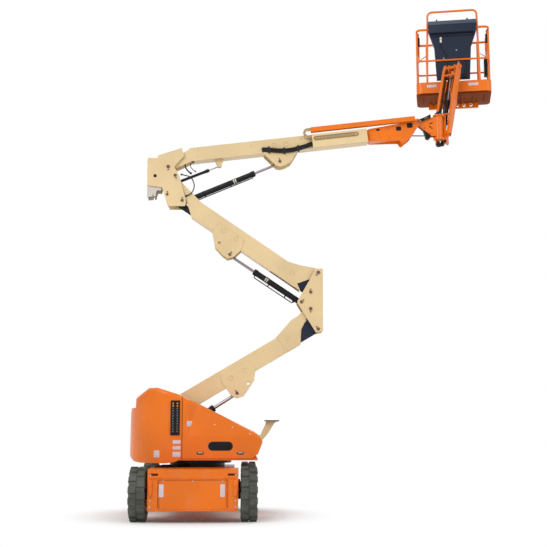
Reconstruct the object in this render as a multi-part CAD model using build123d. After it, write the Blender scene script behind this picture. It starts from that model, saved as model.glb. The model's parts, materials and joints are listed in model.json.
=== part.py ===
"""Articulating boom lift: a battery machine on four solid tyres, its tower, main boom and jib raised.

The origin is on the ground under the slewing axis. +Z is up, +X is the way the booms reach, and the
chassis lies along Y because the turntable has turned a quarter turn on it. Lengths are millimetres and
angles are degrees. The drive axle is at -Y and the steering axle at +Y.
"""

import os
from math import atan2, cos, degrees, hypot, pi, radians, sin

from build123d import *

os.makedirs("parts", exist_ok=True)

# ---- Clearances -------------------------------------------------------------------------------
FIT = 0.3            # radial play of a pin in its eye, and of a turned face on its seat
PANEL_GAP = 8.0      # gap round a hood

# ---- Chassis and wheels -----------------------------------------------------------------------
WHEELBASE = 2000.0
WIDTH_OVER_TYRES = 1750.0
TYRE_RADIUS = 370.0
TYRE_WIDTH = 235.0
LUG_HEIGHT = 20.0
LUGS_PER_SIDE = 14
RIM_RADIUS = 205.0
WHEEL_X = (WIDTH_OVER_TYRES - TYRE_WIDTH) / 2
AXLE_Y = WHEELBASE / 2

DECK_TOP = 715.0
FRAME_BOTTOM = 270.0         # of the battery bay between the axles
BAY_HALF_WIDTH = 545.0
BAY_HALF_LENGTH = 500.0
AXLE_TOP = 440.0             # the frame's sides stand on both axle beams
AXLE_BOTTOM = 300.0
FRAME_HALF_WIDTH = 395.0
FRAME_REAR = 1290.0          # end of the frame past the steering axle
END_HALF_WIDTH = 610.0       # the drive end is as wide as the tyres leave room for
END_Y = -1310.0
END_DEPTH = 560.0
END_BOTTOM = 165.0
PLATE = 10.0
COVER_SHEET = 12.0           # thickness of the panel across the drive end
DRAIN_RADIUS = 25.0

TIE_DOWN_X = 300.0           # of the tie-down lugs on the frame's rear face
TIE_DOWN_Z = 525.0
TIE_DOWN_SPAN = 90.0
TIE_DOWN_BORE = 18.0
LUG_PLATE = 20.0

KINGPIN_X = 590.0
YOKE_GAP = 75.0              # half of the gap between a yoke's cheeks
HUB_RADIUS = 68.0
STEER_ARM = 190.0            # length of a steering arm
TIE_X = 555.0                # of the tie rod's eyes

# ---- Slewing ring and turntable ---------------------------------------------------------------
RING_RADIUS = 400.0
SKIRT_RADIUS = 500.0
SKIRT_BOTTOM = 765.0
TABLE_BOTTOM = 815.0
TABLE_PLATE = 25.0
TABLE_HALF_WIDTH = 750.0
CHANNEL_HALF_WIDTH = 215.0   # the booms lie in this channel between the hoods
TABLE_TOP = TABLE_BOTTOM + TABLE_PLATE
TAIL_X = -990.0              # of the round tail's furthest point
TAIL_SIDE_X = -420.0         # the sides are straight from here to the nose
SEAM_X = -188.0              # the fixed tail cover ends here and the hood begins
FACET_X = -110.0             # the hood's side starts to lean in here, above the crease
NOSE_X = 952.0
CREASE = 1150.0              # height of the fold along a hood's side
LEAN = 150.0                 # how far the side would lean in at the top
SHELL = 8.0
PLAN_CORNER = 110.0          # radii of the cover's corners
PROFILE_CORNER = 40.0
SHOULDER = 60.0
TAIL_WALL_TOP = 1500.0

# ---- Tower: two booms that stay parallel to themselves by level links --------------------------
KNEE_LOW = (1677.0, 3032.0)              # pin D, where the lower boom carries the knee
KNEE_HIGH = (1794.0, 3582.0)             # pin A, where the knee carries the mid boom
LOWER_LINK_OFFSET = (112.0, -303.0)      # from a lower boom pin to the level link's pin
MID_LINK_OFFSET = (-116.0, -297.0)
MID_CYLINDER_FOOT = (1539.0, 3136.0)     # pin C on the knee
LOWER_LENGTH = 2630.0
LOWER_REST = 30.5                        # elevation towards +X
MID_LENGTH = 2634.0
MID_REST = 34.4                          # elevation towards -X
BOX_TOP = -113.0                         # the box hangs below its pin line
BOX_BOTTOM = -380.0
BOX_HALF_WIDTH = 100.0
BOX_WALL = 6.0
EAR_INNER = 84.0                         # thick ears inside each end of a box
LINK_INNER = 66.0
LINK_OUTER = 78.0
LINK_DEPTH = 70.0
KNEE_INNER = 125.0
KNEE_OUTER = 145.0
WEB_PLATE = 12.0                         # the rear webs of the knee and the upright
LUG_OUTER = 112.0                        # outside of the cylinder lugs on the tower booms
BARREL_SLOT = 620.0                      # the raised mid boom's floor is slotted to here
BARREL_SLOT_HALF = 56.0

# ---- Upright and main boom --------------------------------------------------------------------
MAIN_PIN_OFFSET = (-108.0, 135.0)        # pin M from the mid boom's upper pin
LIFT_PIN_OFFSET = (112.0, -390.0)        # pin L of the main lift cylinder
LEVEL_PIN_OFFSET = (29.0, -76.0)         # pin N of the levelling cylinder
UPRIGHT_PLATE_INNER = 50.0               # inner pair of plates, nested in the mid boom
UPRIGHT_PLATE_OUTER = 62.0
MAIN_REST = 6.9
MAIN_BOTTOM = 55.0
MAIN_TOP = 265.0
MAIN_HALF_WIDTH = 105.0
MAIN_WALL = 6.0
MAIN_START = 350.0
MAIN_END = 3100.0
MAIN_LUG_OUTER = 119.0
ROD_PIN_ON_MAIN = (1705.0, -103.5)
LEVEL_PIN_ON_MAIN = (779.0, -45.0)

CARRIER_HEIGHT = 283.0                   # middle of the hose carrier's loop, above the pin line
CARRIER_OUTER = 76.0
CARRIER_Y_LOW = -168.0
CARRIER_Y_HIGH = -118.0
FLY_GAP = 9.0                            # wear pads fill this gap round the fly section
FLY_WALL = 5.0
FLY_START = 1300.0
FLY_NOSE = 3130.0
HEAD_PIN_ON_FLY = (3925.0, 291.0)

# ---- Swing head, jib and platform -------------------------------------------------------------
SWING_X = 3700.0
SWING_RADIUS = 65.0
SWING_LOW = 5735.0
SWING_HIGH = 6075.0
SLAVE_PIN = (3515.0, 5765.0)
LEVER_INNER = 18.0
JIB_AZIMUTH = 54.0
JIB_REST = 69.5
JIB_PIVOT = (120.0, 5800.0)              # along the jib's azimuth from the swing axis, and height
JIB_LINK_OFFSET = (20.0, -120.0)
JIB_LENGTH = 1340.0
JIB_ROD_PIN = 1150.0                     # along the jib from its pivot
JIB_INNER = 95.0
JIB_OUTER = 135.0
PLATFORM_AXIS = 630.0                    # of the platform's rotator, along the azimuth
PLATFORM_AZIMUTH = 79.0
PLATFORM_SETBACK = 150.0                 # from the rotator's axis to the platform's near side
PLATFORM_FLOOR = 6707.0
PLATFORM_LENGTH = 1220.0
PLATFORM_DEPTH = 760.0
RAIL_HEIGHT = 1100.0
LOOP_HEIGHT = 1400.0
MID_RAIL_HEIGHT = 560.0
TUBE_RADIUS = 19.0
POST_RADIUS = 17.0
MID_RAIL_RADIUS = 15.0
GATE_LOW = 110.0                         # the gate's posts, along the platform's depth
GATE_HIGH = 650.0


# ---- Helpers ----------------------------------------------------------------------------------
def turned(point, angle):
    """A point in X and Z after a turn that lifts +X by the angle."""
    x, z = point
    c, s = cos(radians(angle)), sin(radians(angle))
    return (x * c - z * s, x * s + z * c)


def moved(point, offset):
    return (point[0] + offset[0], point[1] + offset[1])


def plate(outline, y_low, y_high, holes=()):
    """A plate with an outline in X and Z; holes are (x, z, radius)."""
    face = make_face(Polyline(*outline, close=True))
    for x, z, radius in holes:
        face -= Pos(x, z) * Circle(radius)
    return extrude(Plane.XZ.offset(-y_high) * face, amount=y_high - y_low)


def pin(at, radius, y_low, y_high):
    """A round bar along Y at a point in X and Z."""
    return Pos(at[0], (y_low + y_high) / 2, at[1]) * Rot(90, 0, 0) * Cylinder(radius, y_high - y_low)


def bar(start, end, radius):
    """A round bar between two points in space."""
    line = Vector(*end) - Vector(*start)
    seat = Plane(origin=start, z_dir=line)
    return seat * Cylinder(radius, line.length, align=(Align.CENTER, Align.CENTER, Align.MIN))


def block(x_low, x_high, y_low, y_high, z_low, z_high):
    size = (x_high - x_low, y_high - y_low, z_high - z_low)
    return Pos((x_low + x_high) / 2, (y_low + y_high) / 2, (z_low + z_high) / 2) * Box(*size)


def both_sides(shape):
    """The shape and its mirror image across the plane of the booms."""
    return shape + mirror(shape, Plane.XZ)


def both_sides_of_x(shape):
    """The shape and its mirror image across the chassis's middle."""
    return shape + mirror(shape, Plane.YZ)


def inset(points, by):
    """Moves each side of an outline inwards and meets the sides again, whichever way it runs."""
    area = sum(x0 * z1 - x1 * z0 for (x0, z0), (x1, z1) in zip(points, points[1:] + points[:1]))
    inwards = by if area < 0 else -by
    lines = []
    for (x0, z0), (x1, z1) in zip(points, points[1:] + points[:1]):
        length = hypot(x1 - x0, z1 - z0)
        shift = ((z1 - z0) / length * inwards, (x0 - x1) / length * inwards)
        lines.append((moved((x0, z0), shift), (x1 - x0, z1 - z0)))
    corners = []
    for (p, d), (q, e) in zip(lines[-1:] + lines[:-1], lines):
        share = ((q[0] - p[0]) * e[1] - (q[1] - p[1]) * e[0]) / (d[0] * e[1] - d[1] * e[0])
        corners.append(moved(p, (d[0] * share, d[1] * share)))
    return corners


def at_pivot(shape, pivot, angle):
    """Turns a shape drawn round its pivot so that +X rises by the angle, and moves it there."""
    return Pos(pivot[0], 0, pivot[1]) * Rot(0, -angle, 0) * shape


def save(shape, name):
    shape.label = name
    export_step(shape, f"parts/{name}.step")


# ---- Pins of the linkage, in X and Z ----------------------------------------------------------
LOWER_PIVOT = moved(KNEE_LOW, turned((-LOWER_LENGTH, 0.0), LOWER_REST))
LOWER_LINK_FOOT = moved(LOWER_PIVOT, LOWER_LINK_OFFSET)
LOWER_LINK_HEAD = moved(KNEE_LOW, LOWER_LINK_OFFSET)
MID_TOP = moved(KNEE_HIGH, turned((-MID_LENGTH, 0.0), -MID_REST))
MID_LINK_FOOT = moved(KNEE_HIGH, MID_LINK_OFFSET)
MID_LINK_HEAD = moved(MID_TOP, MID_LINK_OFFSET)
MAIN_PIVOT = moved(MID_TOP, MAIN_PIN_OFFSET)
LIFT_PIVOT = moved(MID_TOP, LIFT_PIN_OFFSET)
LEVEL_PIVOT = moved(MID_TOP, LEVEL_PIN_OFFSET)
LOWER_CYLINDER_FOOT = (-433.0, 1134.0)
ROD_PIN_ON_LOWER = (1048.0, -526.0)      # round the lower boom's foot pin
ROD_PIN_ON_MID = (-1257.0, -527.0)       # round the mid boom's knee pin
HEAD_PIVOT = moved(MAIN_PIVOT, turned(HEAD_PIN_ON_FLY, MAIN_REST))


# ---- Tyres, rims and axles --------------------------------------------------------------------
def tyre():
    """A solid tyre about X: a ring with two rows of shoulder lugs, half a pitch apart."""
    half = TYRE_WIDTH / 2
    carcass_radius = TYRE_RADIUS - LUG_HEIGHT
    shoulder = 12.0
    bead_inset = 8.0
    ring = Polyline(
        (RIM_RADIUS, -half + bead_inset), (carcass_radius, -half + shoulder),
        (carcass_radius, half - shoulder), (RIM_RADIUS, half - bead_inset), close=True)
    body = revolve(Plane.XZ * make_face(ring), Axis.Z)
    pitch = 360 / LUGS_PER_SIDE
    lug_length = half - 6.0
    lug_width = 2 * pi * TYRE_RADIUS / LUGS_PER_SIDE * 0.52
    root = 14.0
    lug_outline = Polyline(
        (carcass_radius - root, 6.0), (TYRE_RADIUS, 10.0), (TYRE_RADIUS, lug_length - 8.0),
        (carcass_radius - 2 * root, lug_length + 6.0), (carcass_radius - 2 * root, 6.0), close=True)
    lug = Plane.XZ * make_face(lug_outline)
    lug = Pos(0, lug_width / 2, 0) * extrude(lug, amount=lug_width)
    for number in range(LUGS_PER_SIDE):
        body += Rot(0, 0, number * pitch) * lug
        body += Rot(0, 0, (number + 0.5) * pitch) * Rot(180, 0, 0) * lug
    return Rot(0, 90, 0) * body


def rim():
    """A dished disc with a hub boss and a bolt face on the +X side."""
    half = TYRE_WIDTH / 2
    seat = RIM_RADIUS - FIT
    profile = Polyline(
        (0, -40), (seat - 12, -40), (seat - 12, -half + 10), (seat, -half + 10),
        (seat, half - 10), (seat - 12, half - 10), (seat - 20, 20), (110, 20), (95, 62), (0, 62),
        close=True)
    body = revolve(Plane.XZ * make_face(profile), Axis.Z)
    for number in range(5):
        body -= Rot(0, 0, number * 72) * Pos(148, 0, 0) * Cylinder(22, 200)
    return Rot(0, 90, 0) * body


WHEELS = (  # name, side of X, Y
    ("drive_left", -1, -AXLE_Y),
    ("drive_right", 1, -AXLE_Y),
    ("steer_left", -1, AXLE_Y),
    ("steer_right", 1, AXLE_Y),
)
TYRE = tyre()
RIM = rim()
for wheel, side, y in WHEELS:
    facing = Pos(side * WHEEL_X, y, TYRE_RADIUS) * Rot(0, 0, 0 if side > 0 else 180)
    save(facing * TYRE, f"tyre_{wheel}")
    save(facing * RIM, f"rim_{wheel}")

HUB_FACE = WHEEL_X - 40 - FIT            # inner face of a rim, where a hub flange meets it


def drive_axle():
    """A fixed axle: a beam with a round drive hub at each end."""
    beam = block(-END_HALF_WIDTH, END_HALF_WIDTH, -AXLE_Y - 70, -AXLE_Y + 70, AXLE_BOTTOM, AXLE_TOP)
    axle = Pos(0, -AXLE_Y, TYRE_RADIUS) * Rot(0, 90, 0)
    flange = 25.0
    beam += axle * Cylinder(HUB_RADIUS, 2 * HUB_FACE)
    for side in (-1, 1):
        beam += Pos(side * (HUB_FACE - flange / 2), 0, 0) * axle * Cylinder(HUB_RADIUS + 50, flange)
    return beam


def knuckle(side):
    """A steering knuckle: a kingpin between its cheeks, a hub, and a steering arm to the rear."""
    body = Pos(KINGPIN_X, AXLE_Y, TYRE_RADIUS) * Cylinder(38, 2 * YOKE_GAP - 2 * FIT)
    hub = Plane(origin=(KINGPIN_X, AXLE_Y, TYRE_RADIUS), z_dir=(1, 0, 0))
    reach = HUB_FACE - KINGPIN_X
    body += hub * Cylinder(HUB_RADIUS, reach, align=(Align.CENTER, Align.CENTER, Align.MIN))
    body += block(TIE_X - 25, KINGPIN_X, AXLE_Y - 30, AXLE_Y + STEER_ARM + 25, TYRE_RADIUS - 25,
                  TYRE_RADIUS)
    body += Pos(TIE_X, AXLE_Y + STEER_ARM, TYRE_RADIUS + 5) * Cylinder(16, 10)
    return body if side > 0 else mirror(body, Plane.YZ)


def steer_axle():
    """A beam between the wheels with a yoke at each end that holds a kingpin."""
    cheek = 25.0
    beam = block(0, FRAME_HALF_WIDTH, AXLE_Y - 60, AXLE_Y + 60, AXLE_BOTTOM, AXLE_TOP)
    low, high = TYRE_RADIUS - YOKE_GAP - cheek, TYRE_RADIUS + YOKE_GAP + cheek
    yoke = block(FRAME_HALF_WIDTH, KINGPIN_X + 40, AXLE_Y - 45, AXLE_Y + 45, low, high)
    yoke -= block(FRAME_HALF_WIDTH + 60, KINGPIN_X + 50, AXLE_Y - 50, AXLE_Y + 50, low + cheek,
                  high - cheek)
    beam += yoke
    return beam + mirror(beam, Plane.YZ)


save(drive_axle(), "drive_axle")
save(steer_axle(), "steer_axle")
for side, name in ((-1, "left"), (1, "right")):
    save(knuckle(side), f"knuckle_{name}")


def tie_rod():
    """The rod that joins the steering arms, with an eye on each arm's boss."""
    eye = 26.0
    height = TYRE_RADIUS + 10 + FIT + eye / 2
    rod = bar((-TIE_X, AXLE_Y + STEER_ARM, height), (TIE_X, AXLE_Y + STEER_ARM, height), 10)
    for side in (-1, 1):
        rod += Pos(side * TIE_X, AXLE_Y + STEER_ARM, height) * Cylinder(23, eye)
    return rod


save(tie_rod(), "tie_rod")


# ---- Chassis ----------------------------------------------------------------------------------
def hollow_box(x_half, y_low, y_high, z_low, z_high):
    """A welded box that is closed all round, with a drain hole in its floor."""
    box = block(-x_half, x_half, y_low, y_high, z_low, z_high)
    box -= block(-x_half + PLATE, x_half - PLATE, y_low + PLATE, y_high - PLATE, z_low + PLATE,
                 z_high - PLATE)
    return box - Pos(0, (y_low + y_high) / 2, z_low + PLATE / 2) * Cylinder(DRAIN_RADIUS, 3 * PLATE)


def steer_end():
    """The frame over the steering axle, with a tie-down lug at each side of its rear face."""
    body = hollow_box(FRAME_HALF_WIDTH, BAY_HALF_LENGTH, FRAME_REAR, AXLE_TOP, DECK_TOP)
    for side in (-1, 1):
        lug = block(-TIE_DOWN_SPAN / 2, TIE_DOWN_SPAN / 2, FRAME_REAR, FRAME_REAR + TIE_DOWN_SPAN,
                    TIE_DOWN_Z - LUG_PLATE / 2, TIE_DOWN_Z + LUG_PLATE / 2)
        lug -= Pos(0, FRAME_REAR + TIE_DOWN_SPAN / 2, TIE_DOWN_Z) * Cylinder(TIE_DOWN_BORE, 2 * LUG_PLATE)
        body += Pos(side * TIE_DOWN_X, 0, 0) * lug
    return body


def drive_end():
    """The wide end over the drive axle, with the wall that its cover panel is bolted to."""
    wall_low = END_Y + COVER_SHEET
    end = hollow_box(END_HALF_WIDTH, wall_low, END_Y + END_DEPTH, AXLE_TOP, DECK_TOP)
    end += block(-END_HALF_WIDTH, END_HALF_WIDTH, wall_low, wall_low + PLATE, END_BOTTOM, AXLE_TOP)
    return end + block(-FRAME_HALF_WIDTH, FRAME_HALF_WIDTH, END_Y + END_DEPTH, -BAY_HALF_LENGTH,
                       AXLE_TOP, DECK_TOP)


def bearing_ring():
    ring = Cylinder(RING_RADIUS, SKIRT_BOTTOM - FIT - DECK_TOP) - Cylinder(RING_RADIUS - 70, 200)
    return Pos(0, 0, (DECK_TOP + SKIRT_BOTTOM - FIT) / 2) * ring


def end_cover():
    """The panel across the drive end, with its bottom flange and two corner posts."""
    half = 445.0
    back = END_Y + COVER_SHEET
    gap = 12.0
    panel = block(-half, half, END_Y, back, END_BOTTOM + 25, 572)
    panel += block(-END_HALF_WIDTH, END_HALF_WIDTH, END_Y, back, END_BOTTOM, END_BOTTOM + 18)
    panel += block(-END_HALF_WIDTH, END_HALF_WIDTH, END_Y, back, 585, DECK_TOP)
    return panel + both_sides_of_x(block(half + gap, END_HALF_WIDTH, END_Y, back, END_BOTTOM, DECK_TOP))


save(hollow_box(BAY_HALF_WIDTH, -BAY_HALF_LENGTH, BAY_HALF_LENGTH, FRAME_BOTTOM, DECK_TOP), "frame_bay")
save(steer_end(), "frame_steer_end")
save(drive_end(), "frame_drive_end")
save(bearing_ring(), "bearing_ring")
save(end_cover(), "drive_end_cover")


# ---- Turntable --------------------------------------------------------------------------------
NOSE_CORNERS = [(NOSE_X, 1078.0), (885.0, 906.0), (800.0, TABLE_TOP)]
TAIL_CORNER = (TAIL_X, 872.0)
COVER_PROFILE = [  # x, z of the cover's side view, from the tail's foot round to the nose and back
    TAIL_CORNER,
    (-968.0, 1545.0),
    (-880.0, 1556.0),
    (-874.0, 1695.0),
    (-672.0, 1833.0),
    (-540.0, 1836.0),
    (-247.0, 1741.0),
    (SEAM_X, 1712.0),
    (295.0, 1478.0),
    (879.0, 1179.0),
    *NOSE_CORNERS,
    (SEAM_X, TABLE_TOP),
    (-290.0, 792.0),
    (TAIL_SIDE_X, 774.0),
    (-800.0, 778.0),
    (-900.0, 795.0),
]
HINGE_LINE = ((-247.0, 1741.0), (879.0, 1179.0))
HINGE_RADIUS = 8.0
UNDER_COVER = 700.0          # heights safely below and above the cover, for cutting it
OVER_COVER = 1900.0


def cover_plan(shrink):
    """The cover from above, moved inwards from its skin: a round tail, straight sides, a blunt nose."""
    half = TABLE_HALF_WIDTH - shrink
    nose = NOSE_X - shrink
    tail = ThreePointArc((TAIL_SIDE_X, -half), (TAIL_X + shrink, 0), (TAIL_SIDE_X, half))
    rest = Polyline((TAIL_SIDE_X, half), (nose, half), (nose, -half), (TAIL_SIDE_X, -half))
    face = make_face(Curve() + [tail, rest])
    return fillet(face.vertices(), PLAN_CORNER - shrink)


def lean_cut(half):
    """What is cut from the +Y side above the crease: it ends in a slanted facet near the seam."""
    inner = half - LEAN
    above = OVER_COVER - CREASE
    section = Polyline((half, CREASE), (half + above, CREASE), (half + above, OVER_COVER),
                       (inner, OVER_COVER), close=True)
    facet = Polyline((FACET_X, half), (FACET_X + 1.4 * LEAN, inner), (NOSE_X + 1, inner),
                     (NOSE_X + 1, half + above), (FACET_X, half + above), close=True)
    leaning = Pos(FACET_X - 1, 0, 0) * extrude(Plane.YZ * make_face(section), amount=NOSE_X - FACET_X + 2)
    return leaning & extrude(make_face(facet), amount=OVER_COVER)


def cover_form(shrink):
    """The cover as one solid, moved inwards from its skin: side view and plan crossed, sides leaning
    in above the crease, and rounded shoulders."""
    outline = inset(COVER_PROFILE, shrink) if shrink else COVER_PROFILE
    face = make_face(Polyline(*outline, close=True))
    near = 1.5 * SHELL
    corners = [vertex for vertex in face.vertices() for x, z in (*NOSE_CORNERS, TAIL_CORNER)
               if hypot(vertex.X - x, vertex.Y - z) < near]
    face = fillet(corners, PROFILE_CORNER)
    solid = extrude(Plane.XZ.offset(-TABLE_HALF_WIDTH) * face, amount=2 * TABLE_HALF_WIDTH)
    solid &= Pos(0, 0, UNDER_COVER) * extrude(cover_plan(shrink), amount=OVER_COVER - UNDER_COVER)
    solid -= both_sides(lean_cut(TABLE_HALF_WIDTH - shrink))
    shoulders = [edge for edge in solid.edges()
                 if edge.center().Z > CREASE + 20 and abs(edge.center().Y) > 300
                 and abs(edge.tangent_at(0.5).Z) < 0.85]
    return fillet(shoulders, SHOULDER - shrink)


def cover_skin():
    """The skin of the whole cover, open below and along the channel that the booms lie in."""
    lip = 5.0
    skin = cover_form(0.0) - cover_form(SHELL)
    mouth = Pos(0, 0, UNDER_COVER) * extrude(cover_plan(SHELL + lip), amount=TABLE_TOP + 30 - UNDER_COVER)
    skin -= mouth & block(TAIL_X + 110, 780, -TABLE_HALF_WIDTH, TABLE_HALF_WIDTH, UNDER_COVER, OVER_COVER)
    channel = block(TAIL_X + 110, NOSE_X + 1, -CHANNEL_HALF_WIDTH, CHANNEL_HALF_WIDTH, UNDER_COVER,
                    OVER_COVER)
    over_tail = block(TAIL_X - 1, TAIL_X + 111, -CHANNEL_HALF_WIDTH, CHANNEL_HALF_WIDTH, TAIL_WALL_TOP,
                      OVER_COVER)
    return skin - channel - over_tail


def turntable_frame():
    """The base plate, two bulkheads that line the boom channel, and the cheeks that carry the tower."""
    low = TABLE_BOTTOM
    high = TABLE_TOP
    rear = -895                  # ends of the base plate, inside the tail and the nose of the cover
    front = 880
    base = Pos(0, 0, low) * extrude(cover_plan(SHELL + 7.0), amount=TABLE_PLATE)
    base &= block(rear, front, -TABLE_HALF_WIDTH, TABLE_HALF_WIDTH, low, high)
    edge = TABLE_HALF_WIDTH - SHELL
    base += both_sides(block(TAIL_SIDE_X + 25, TAIL_SIDE_X + 125, edge - 30, edge, low, high))
    stern = -760                 # rear edge of the bulkheads and of the plate between them
    bow = 860
    bulkhead = [(stern, high), (stern, 1660), (-640, 1805), (-540, 1815), (-230, 1715),
                (290, 1462), (bow, 1165), (bow, high)]
    base += both_sides(plate(bulkhead, CHANNEL_HALF_WIDTH - 10, CHANNEL_HALF_WIDTH - FIT))
    cheek = [(stern, high), (-740, 1480), (-660, 1745), (-590, 1775), (-520, 1745),
             (-360, 1210), (-250, high)]
    base += both_sides(plate(cheek, KNEE_INNER, KNEE_OUTER))
    web = CHANNEL_HALF_WIDTH - 9
    base += both_sides(block(-740, -600, KNEE_OUTER, web, 1300, 1320))
    base += block(stern, stern + WEB_PLATE, -web, web, high, 1480)
    base += block(bow - 20, bow, -web, web, high, 1165)
    base += pin(LOWER_PIVOT, 25, -KNEE_OUTER - 8, KNEE_OUTER + 8)
    base += pin(LOWER_LINK_FOOT, 18, -KNEE_OUTER - 6, KNEE_OUTER + 6)
    base += pin(LOWER_CYLINDER_FOOT, 22, -KNEE_OUTER - 6, KNEE_OUTER + 6)
    return base


def slew_skirt():
    skirt = Cylinder(SKIRT_RADIUS, TABLE_BOTTOM - SKIRT_BOTTOM)
    return Pos(0, 0, (SKIRT_BOTTOM + TABLE_BOTTOM) / 2) * skirt


def counterweight():
    """A cast block that fills the round tail, with a wing into each side compartment."""
    play = SHELL + 6.0
    half = TABLE_HALF_WIDTH - play
    form = plate(inset(COVER_PROFILE, play), -half, half)
    form &= Pos(0, 0, UNDER_COVER) * extrude(cover_plan(play), amount=OVER_COVER)
    body = form & block(TAIL_X, -762, -half, half, TABLE_TOP, 1440)
    wings = form & both_sides(block(-763, -420, CHANNEL_HALF_WIDTH + 5, half, TABLE_TOP, 1230))
    return body + wings


SKIN = cover_skin()


def tail_cover():
    """The fixed cover over the tail, with the rear wall that joins its two sides."""
    return SKIN & block(TAIL_X - 1, SEAM_X - PANEL_GAP / 2, -TABLE_HALF_WIDTH, TABLE_HALF_WIDTH,
                        UNDER_COVER, OVER_COVER)


def on_hinge_line(x, side):
    """A point on the hinge of the hood on that side, which runs down its inner top edge."""
    (x0, z0), (x1, z1) = HINGE_LINE
    return (x, side * CHANNEL_HALF_WIDTH, z0 + (x - x0) * (z1 - z0) / (x1 - x0))


def hood(side):
    """The hood that opens: top slope, outer side and rounded nose, hinged at its inner top edge."""
    low, high = sorted((side * CHANNEL_HALF_WIDTH, side * TABLE_HALF_WIDTH))
    cover = SKIN & block(SEAM_X + PANEL_GAP / 2, NOSE_X + 1, low, high, UNDER_COVER, OVER_COVER)
    return Pos(0, 0, FIT) * cover + bar(on_hinge_line(-150, side), on_hinge_line(850, side), HINGE_RADIUS)


def boom_rest():
    """The rest that the lower boom lies on: an arm from the nose and a flared pad."""
    arm = [(860, 1100), (905, 1100), (975, 1130), (1075, 1350), (1040, 1365), (940, 1165), (860, 1150)]
    body = plate(arm, -40, 40)
    body += block(860, 870, -90, 90, 1060, 1160)
    return body + plate([(1010, 1380), (1195, 1372), (1180, 1355), (1030, 1355)], -110, 110)


save(turntable_frame(), "turntable_frame")
save(slew_skirt(), "slew_skirt")
save(counterweight(), "counterweight")
save(tail_cover(), "tail_cover")
save(hood(-1), "hood_near")
save(hood(1), "hood_far")
save(boom_rest(), "boom_rest")
save(both_sides(block(-150, 720, 260, 690, TABLE_TOP, 1165)), "battery_packs")
controls = block(-352, -222, -TABLE_HALF_WIDTH - 14, -TABLE_HALF_WIDTH, 1165, 1650)
save(controls, "ground_controls")


# ---- Tower booms ------------------------------------------------------------------------------
def box_boom(side_outline, top_run, bottom_run, ears, slot=None):
    """A box boom: two side plates, top and bottom plates, and thick ears; runs are (x, z) ends."""
    inner = BOX_HALF_WIDTH - BOX_WALL
    sides = plate(side_outline, inner, BOX_HALF_WIDTH, holes=ears)
    boom = both_sides(sides)
    for x, z, radius in ears:
        boss = pin((x, z), radius + 22, EAR_INNER, BOX_HALF_WIDTH + 18) - pin((x, z), radius, 0, 200)
        boom += both_sides(boss)
    for (x0, z0), (x1, z1), thickness in (top_run, bottom_run):
        boom += plate([(x0, z0), (x1, z1), (x1, z1 + thickness), (x0, z0 + thickness)], -inner, inner)
    if slot:
        boom -= block(slot[0], slot[1], -slot[2], slot[2], BOX_TOP - 40, BOX_TOP + 40)
    return boom


def lug_plates(outline, rod_pin, hole):
    """The pair of lugs for a lift cylinder, each with a short stub of its pin."""
    lugs = plate(outline, BOX_HALF_WIDTH, LUG_OUTER, holes=[(*hole, 22)])
    lugs += pin(rod_pin, 20, 60, LUG_OUTER + 8)
    return both_sides(lugs)


def lower_boom():
    side = [(0, 62), (-62, 0), (-40, -60), (130, -205), (215, -300), (225, BOX_BOTTOM),
            (LOWER_LENGTH - 400, BOX_BOTTOM), (LOWER_LENGTH - 278, -194), (LOWER_LENGTH - 60, -55),
            (LOWER_LENGTH + 50, -40), (LOWER_LENGTH + 62, 20), (LOWER_LENGTH + 20, 62),
            (LOWER_LENGTH - 240, 3), (LOWER_LENGTH - 349, 0), (LOWER_LENGTH - 682, BOX_TOP),
            (260, BOX_TOP)]
    ears = [(0, 0, 25 + FIT), (LOWER_LENGTH, 0, 25 + FIT)]
    boom = box_boom(side, ((240, BOX_TOP), (LOWER_LENGTH - 682, BOX_TOP), -BOX_WALL),
                    ((230, BOX_BOTTOM), (LOWER_LENGTH - 405, BOX_BOTTOM), BOX_WALL), ears)
    flare = [(LOWER_LENGTH - 684, BOX_TOP), (LOWER_LENGTH - 349, 0), (LOWER_LENGTH - 240, 3),
             (LOWER_LENGTH - 240, 3 - BOX_WALL), (LOWER_LENGTH - 347, -BOX_WALL),
             (LOWER_LENGTH - 682, BOX_TOP - BOX_WALL)]
    boom += plate(flare, -BOX_HALF_WIDTH + 1, BOX_HALF_WIDTH - 1)
    lug = [(962, -200), (1454, -222), (1490, -328), (1358, -492), (1108, -610), (1002, -584),
           (952, -506), (934, -268)]
    return boom + lug_plates(lug, ROD_PIN_ON_LOWER, (1264, -486))


def mid_boom():
    length = MID_LENGTH
    side = [(20, 20), (0, 62), (-120, 20), (-300, -60), (-471, BOX_TOP), (-length + 560, BOX_TOP),
            (-length + 120, -20), (-length, 62), (-length - 62, 0), (-length - 20, -58),
            (-length + 200, -95), (-length + 330, -195), (-length + 565, BOX_BOTTOM),
            (-66, BOX_BOTTOM), (-169, -312), (-56, -155), (40, -45)]
    ears = [(0, 0, 25 + FIT), (-length, 0, 25 + FIT)]
    boom = box_boom(side, ((-471, BOX_TOP), (-length + 600, BOX_TOP), -BOX_WALL),
                    ((-180, BOX_BOTTOM), (-length + 565, BOX_BOTTOM), BOX_WALL), ears,
                    slot=(-length, -1380, 62))
    flare = [(-471, BOX_TOP), (-300, -60), (-120, 20), (-120, 20 - BOX_WALL), (-300, -60 - BOX_WALL),
             (-471, BOX_TOP - BOX_WALL)]
    boom += plate(flare, -BOX_HALF_WIDTH + 1, BOX_HALF_WIDTH - 1)
    boom -= block(-BARREL_SLOT, -150, -BARREL_SLOT_HALF, BARREL_SLOT_HALF, BOX_BOTTOM - 1,
                  BOX_BOTTOM + 30)
    lug = [(-1668, -228), (-1210, -214), (-1155, -380), (-1186, -522), (-1252, -597), (-1340, -597),
           (-1508, -560), (-1668, -400)]
    return boom + lug_plates(lug, ROD_PIN_ON_MID, (-1490, -470))


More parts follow.
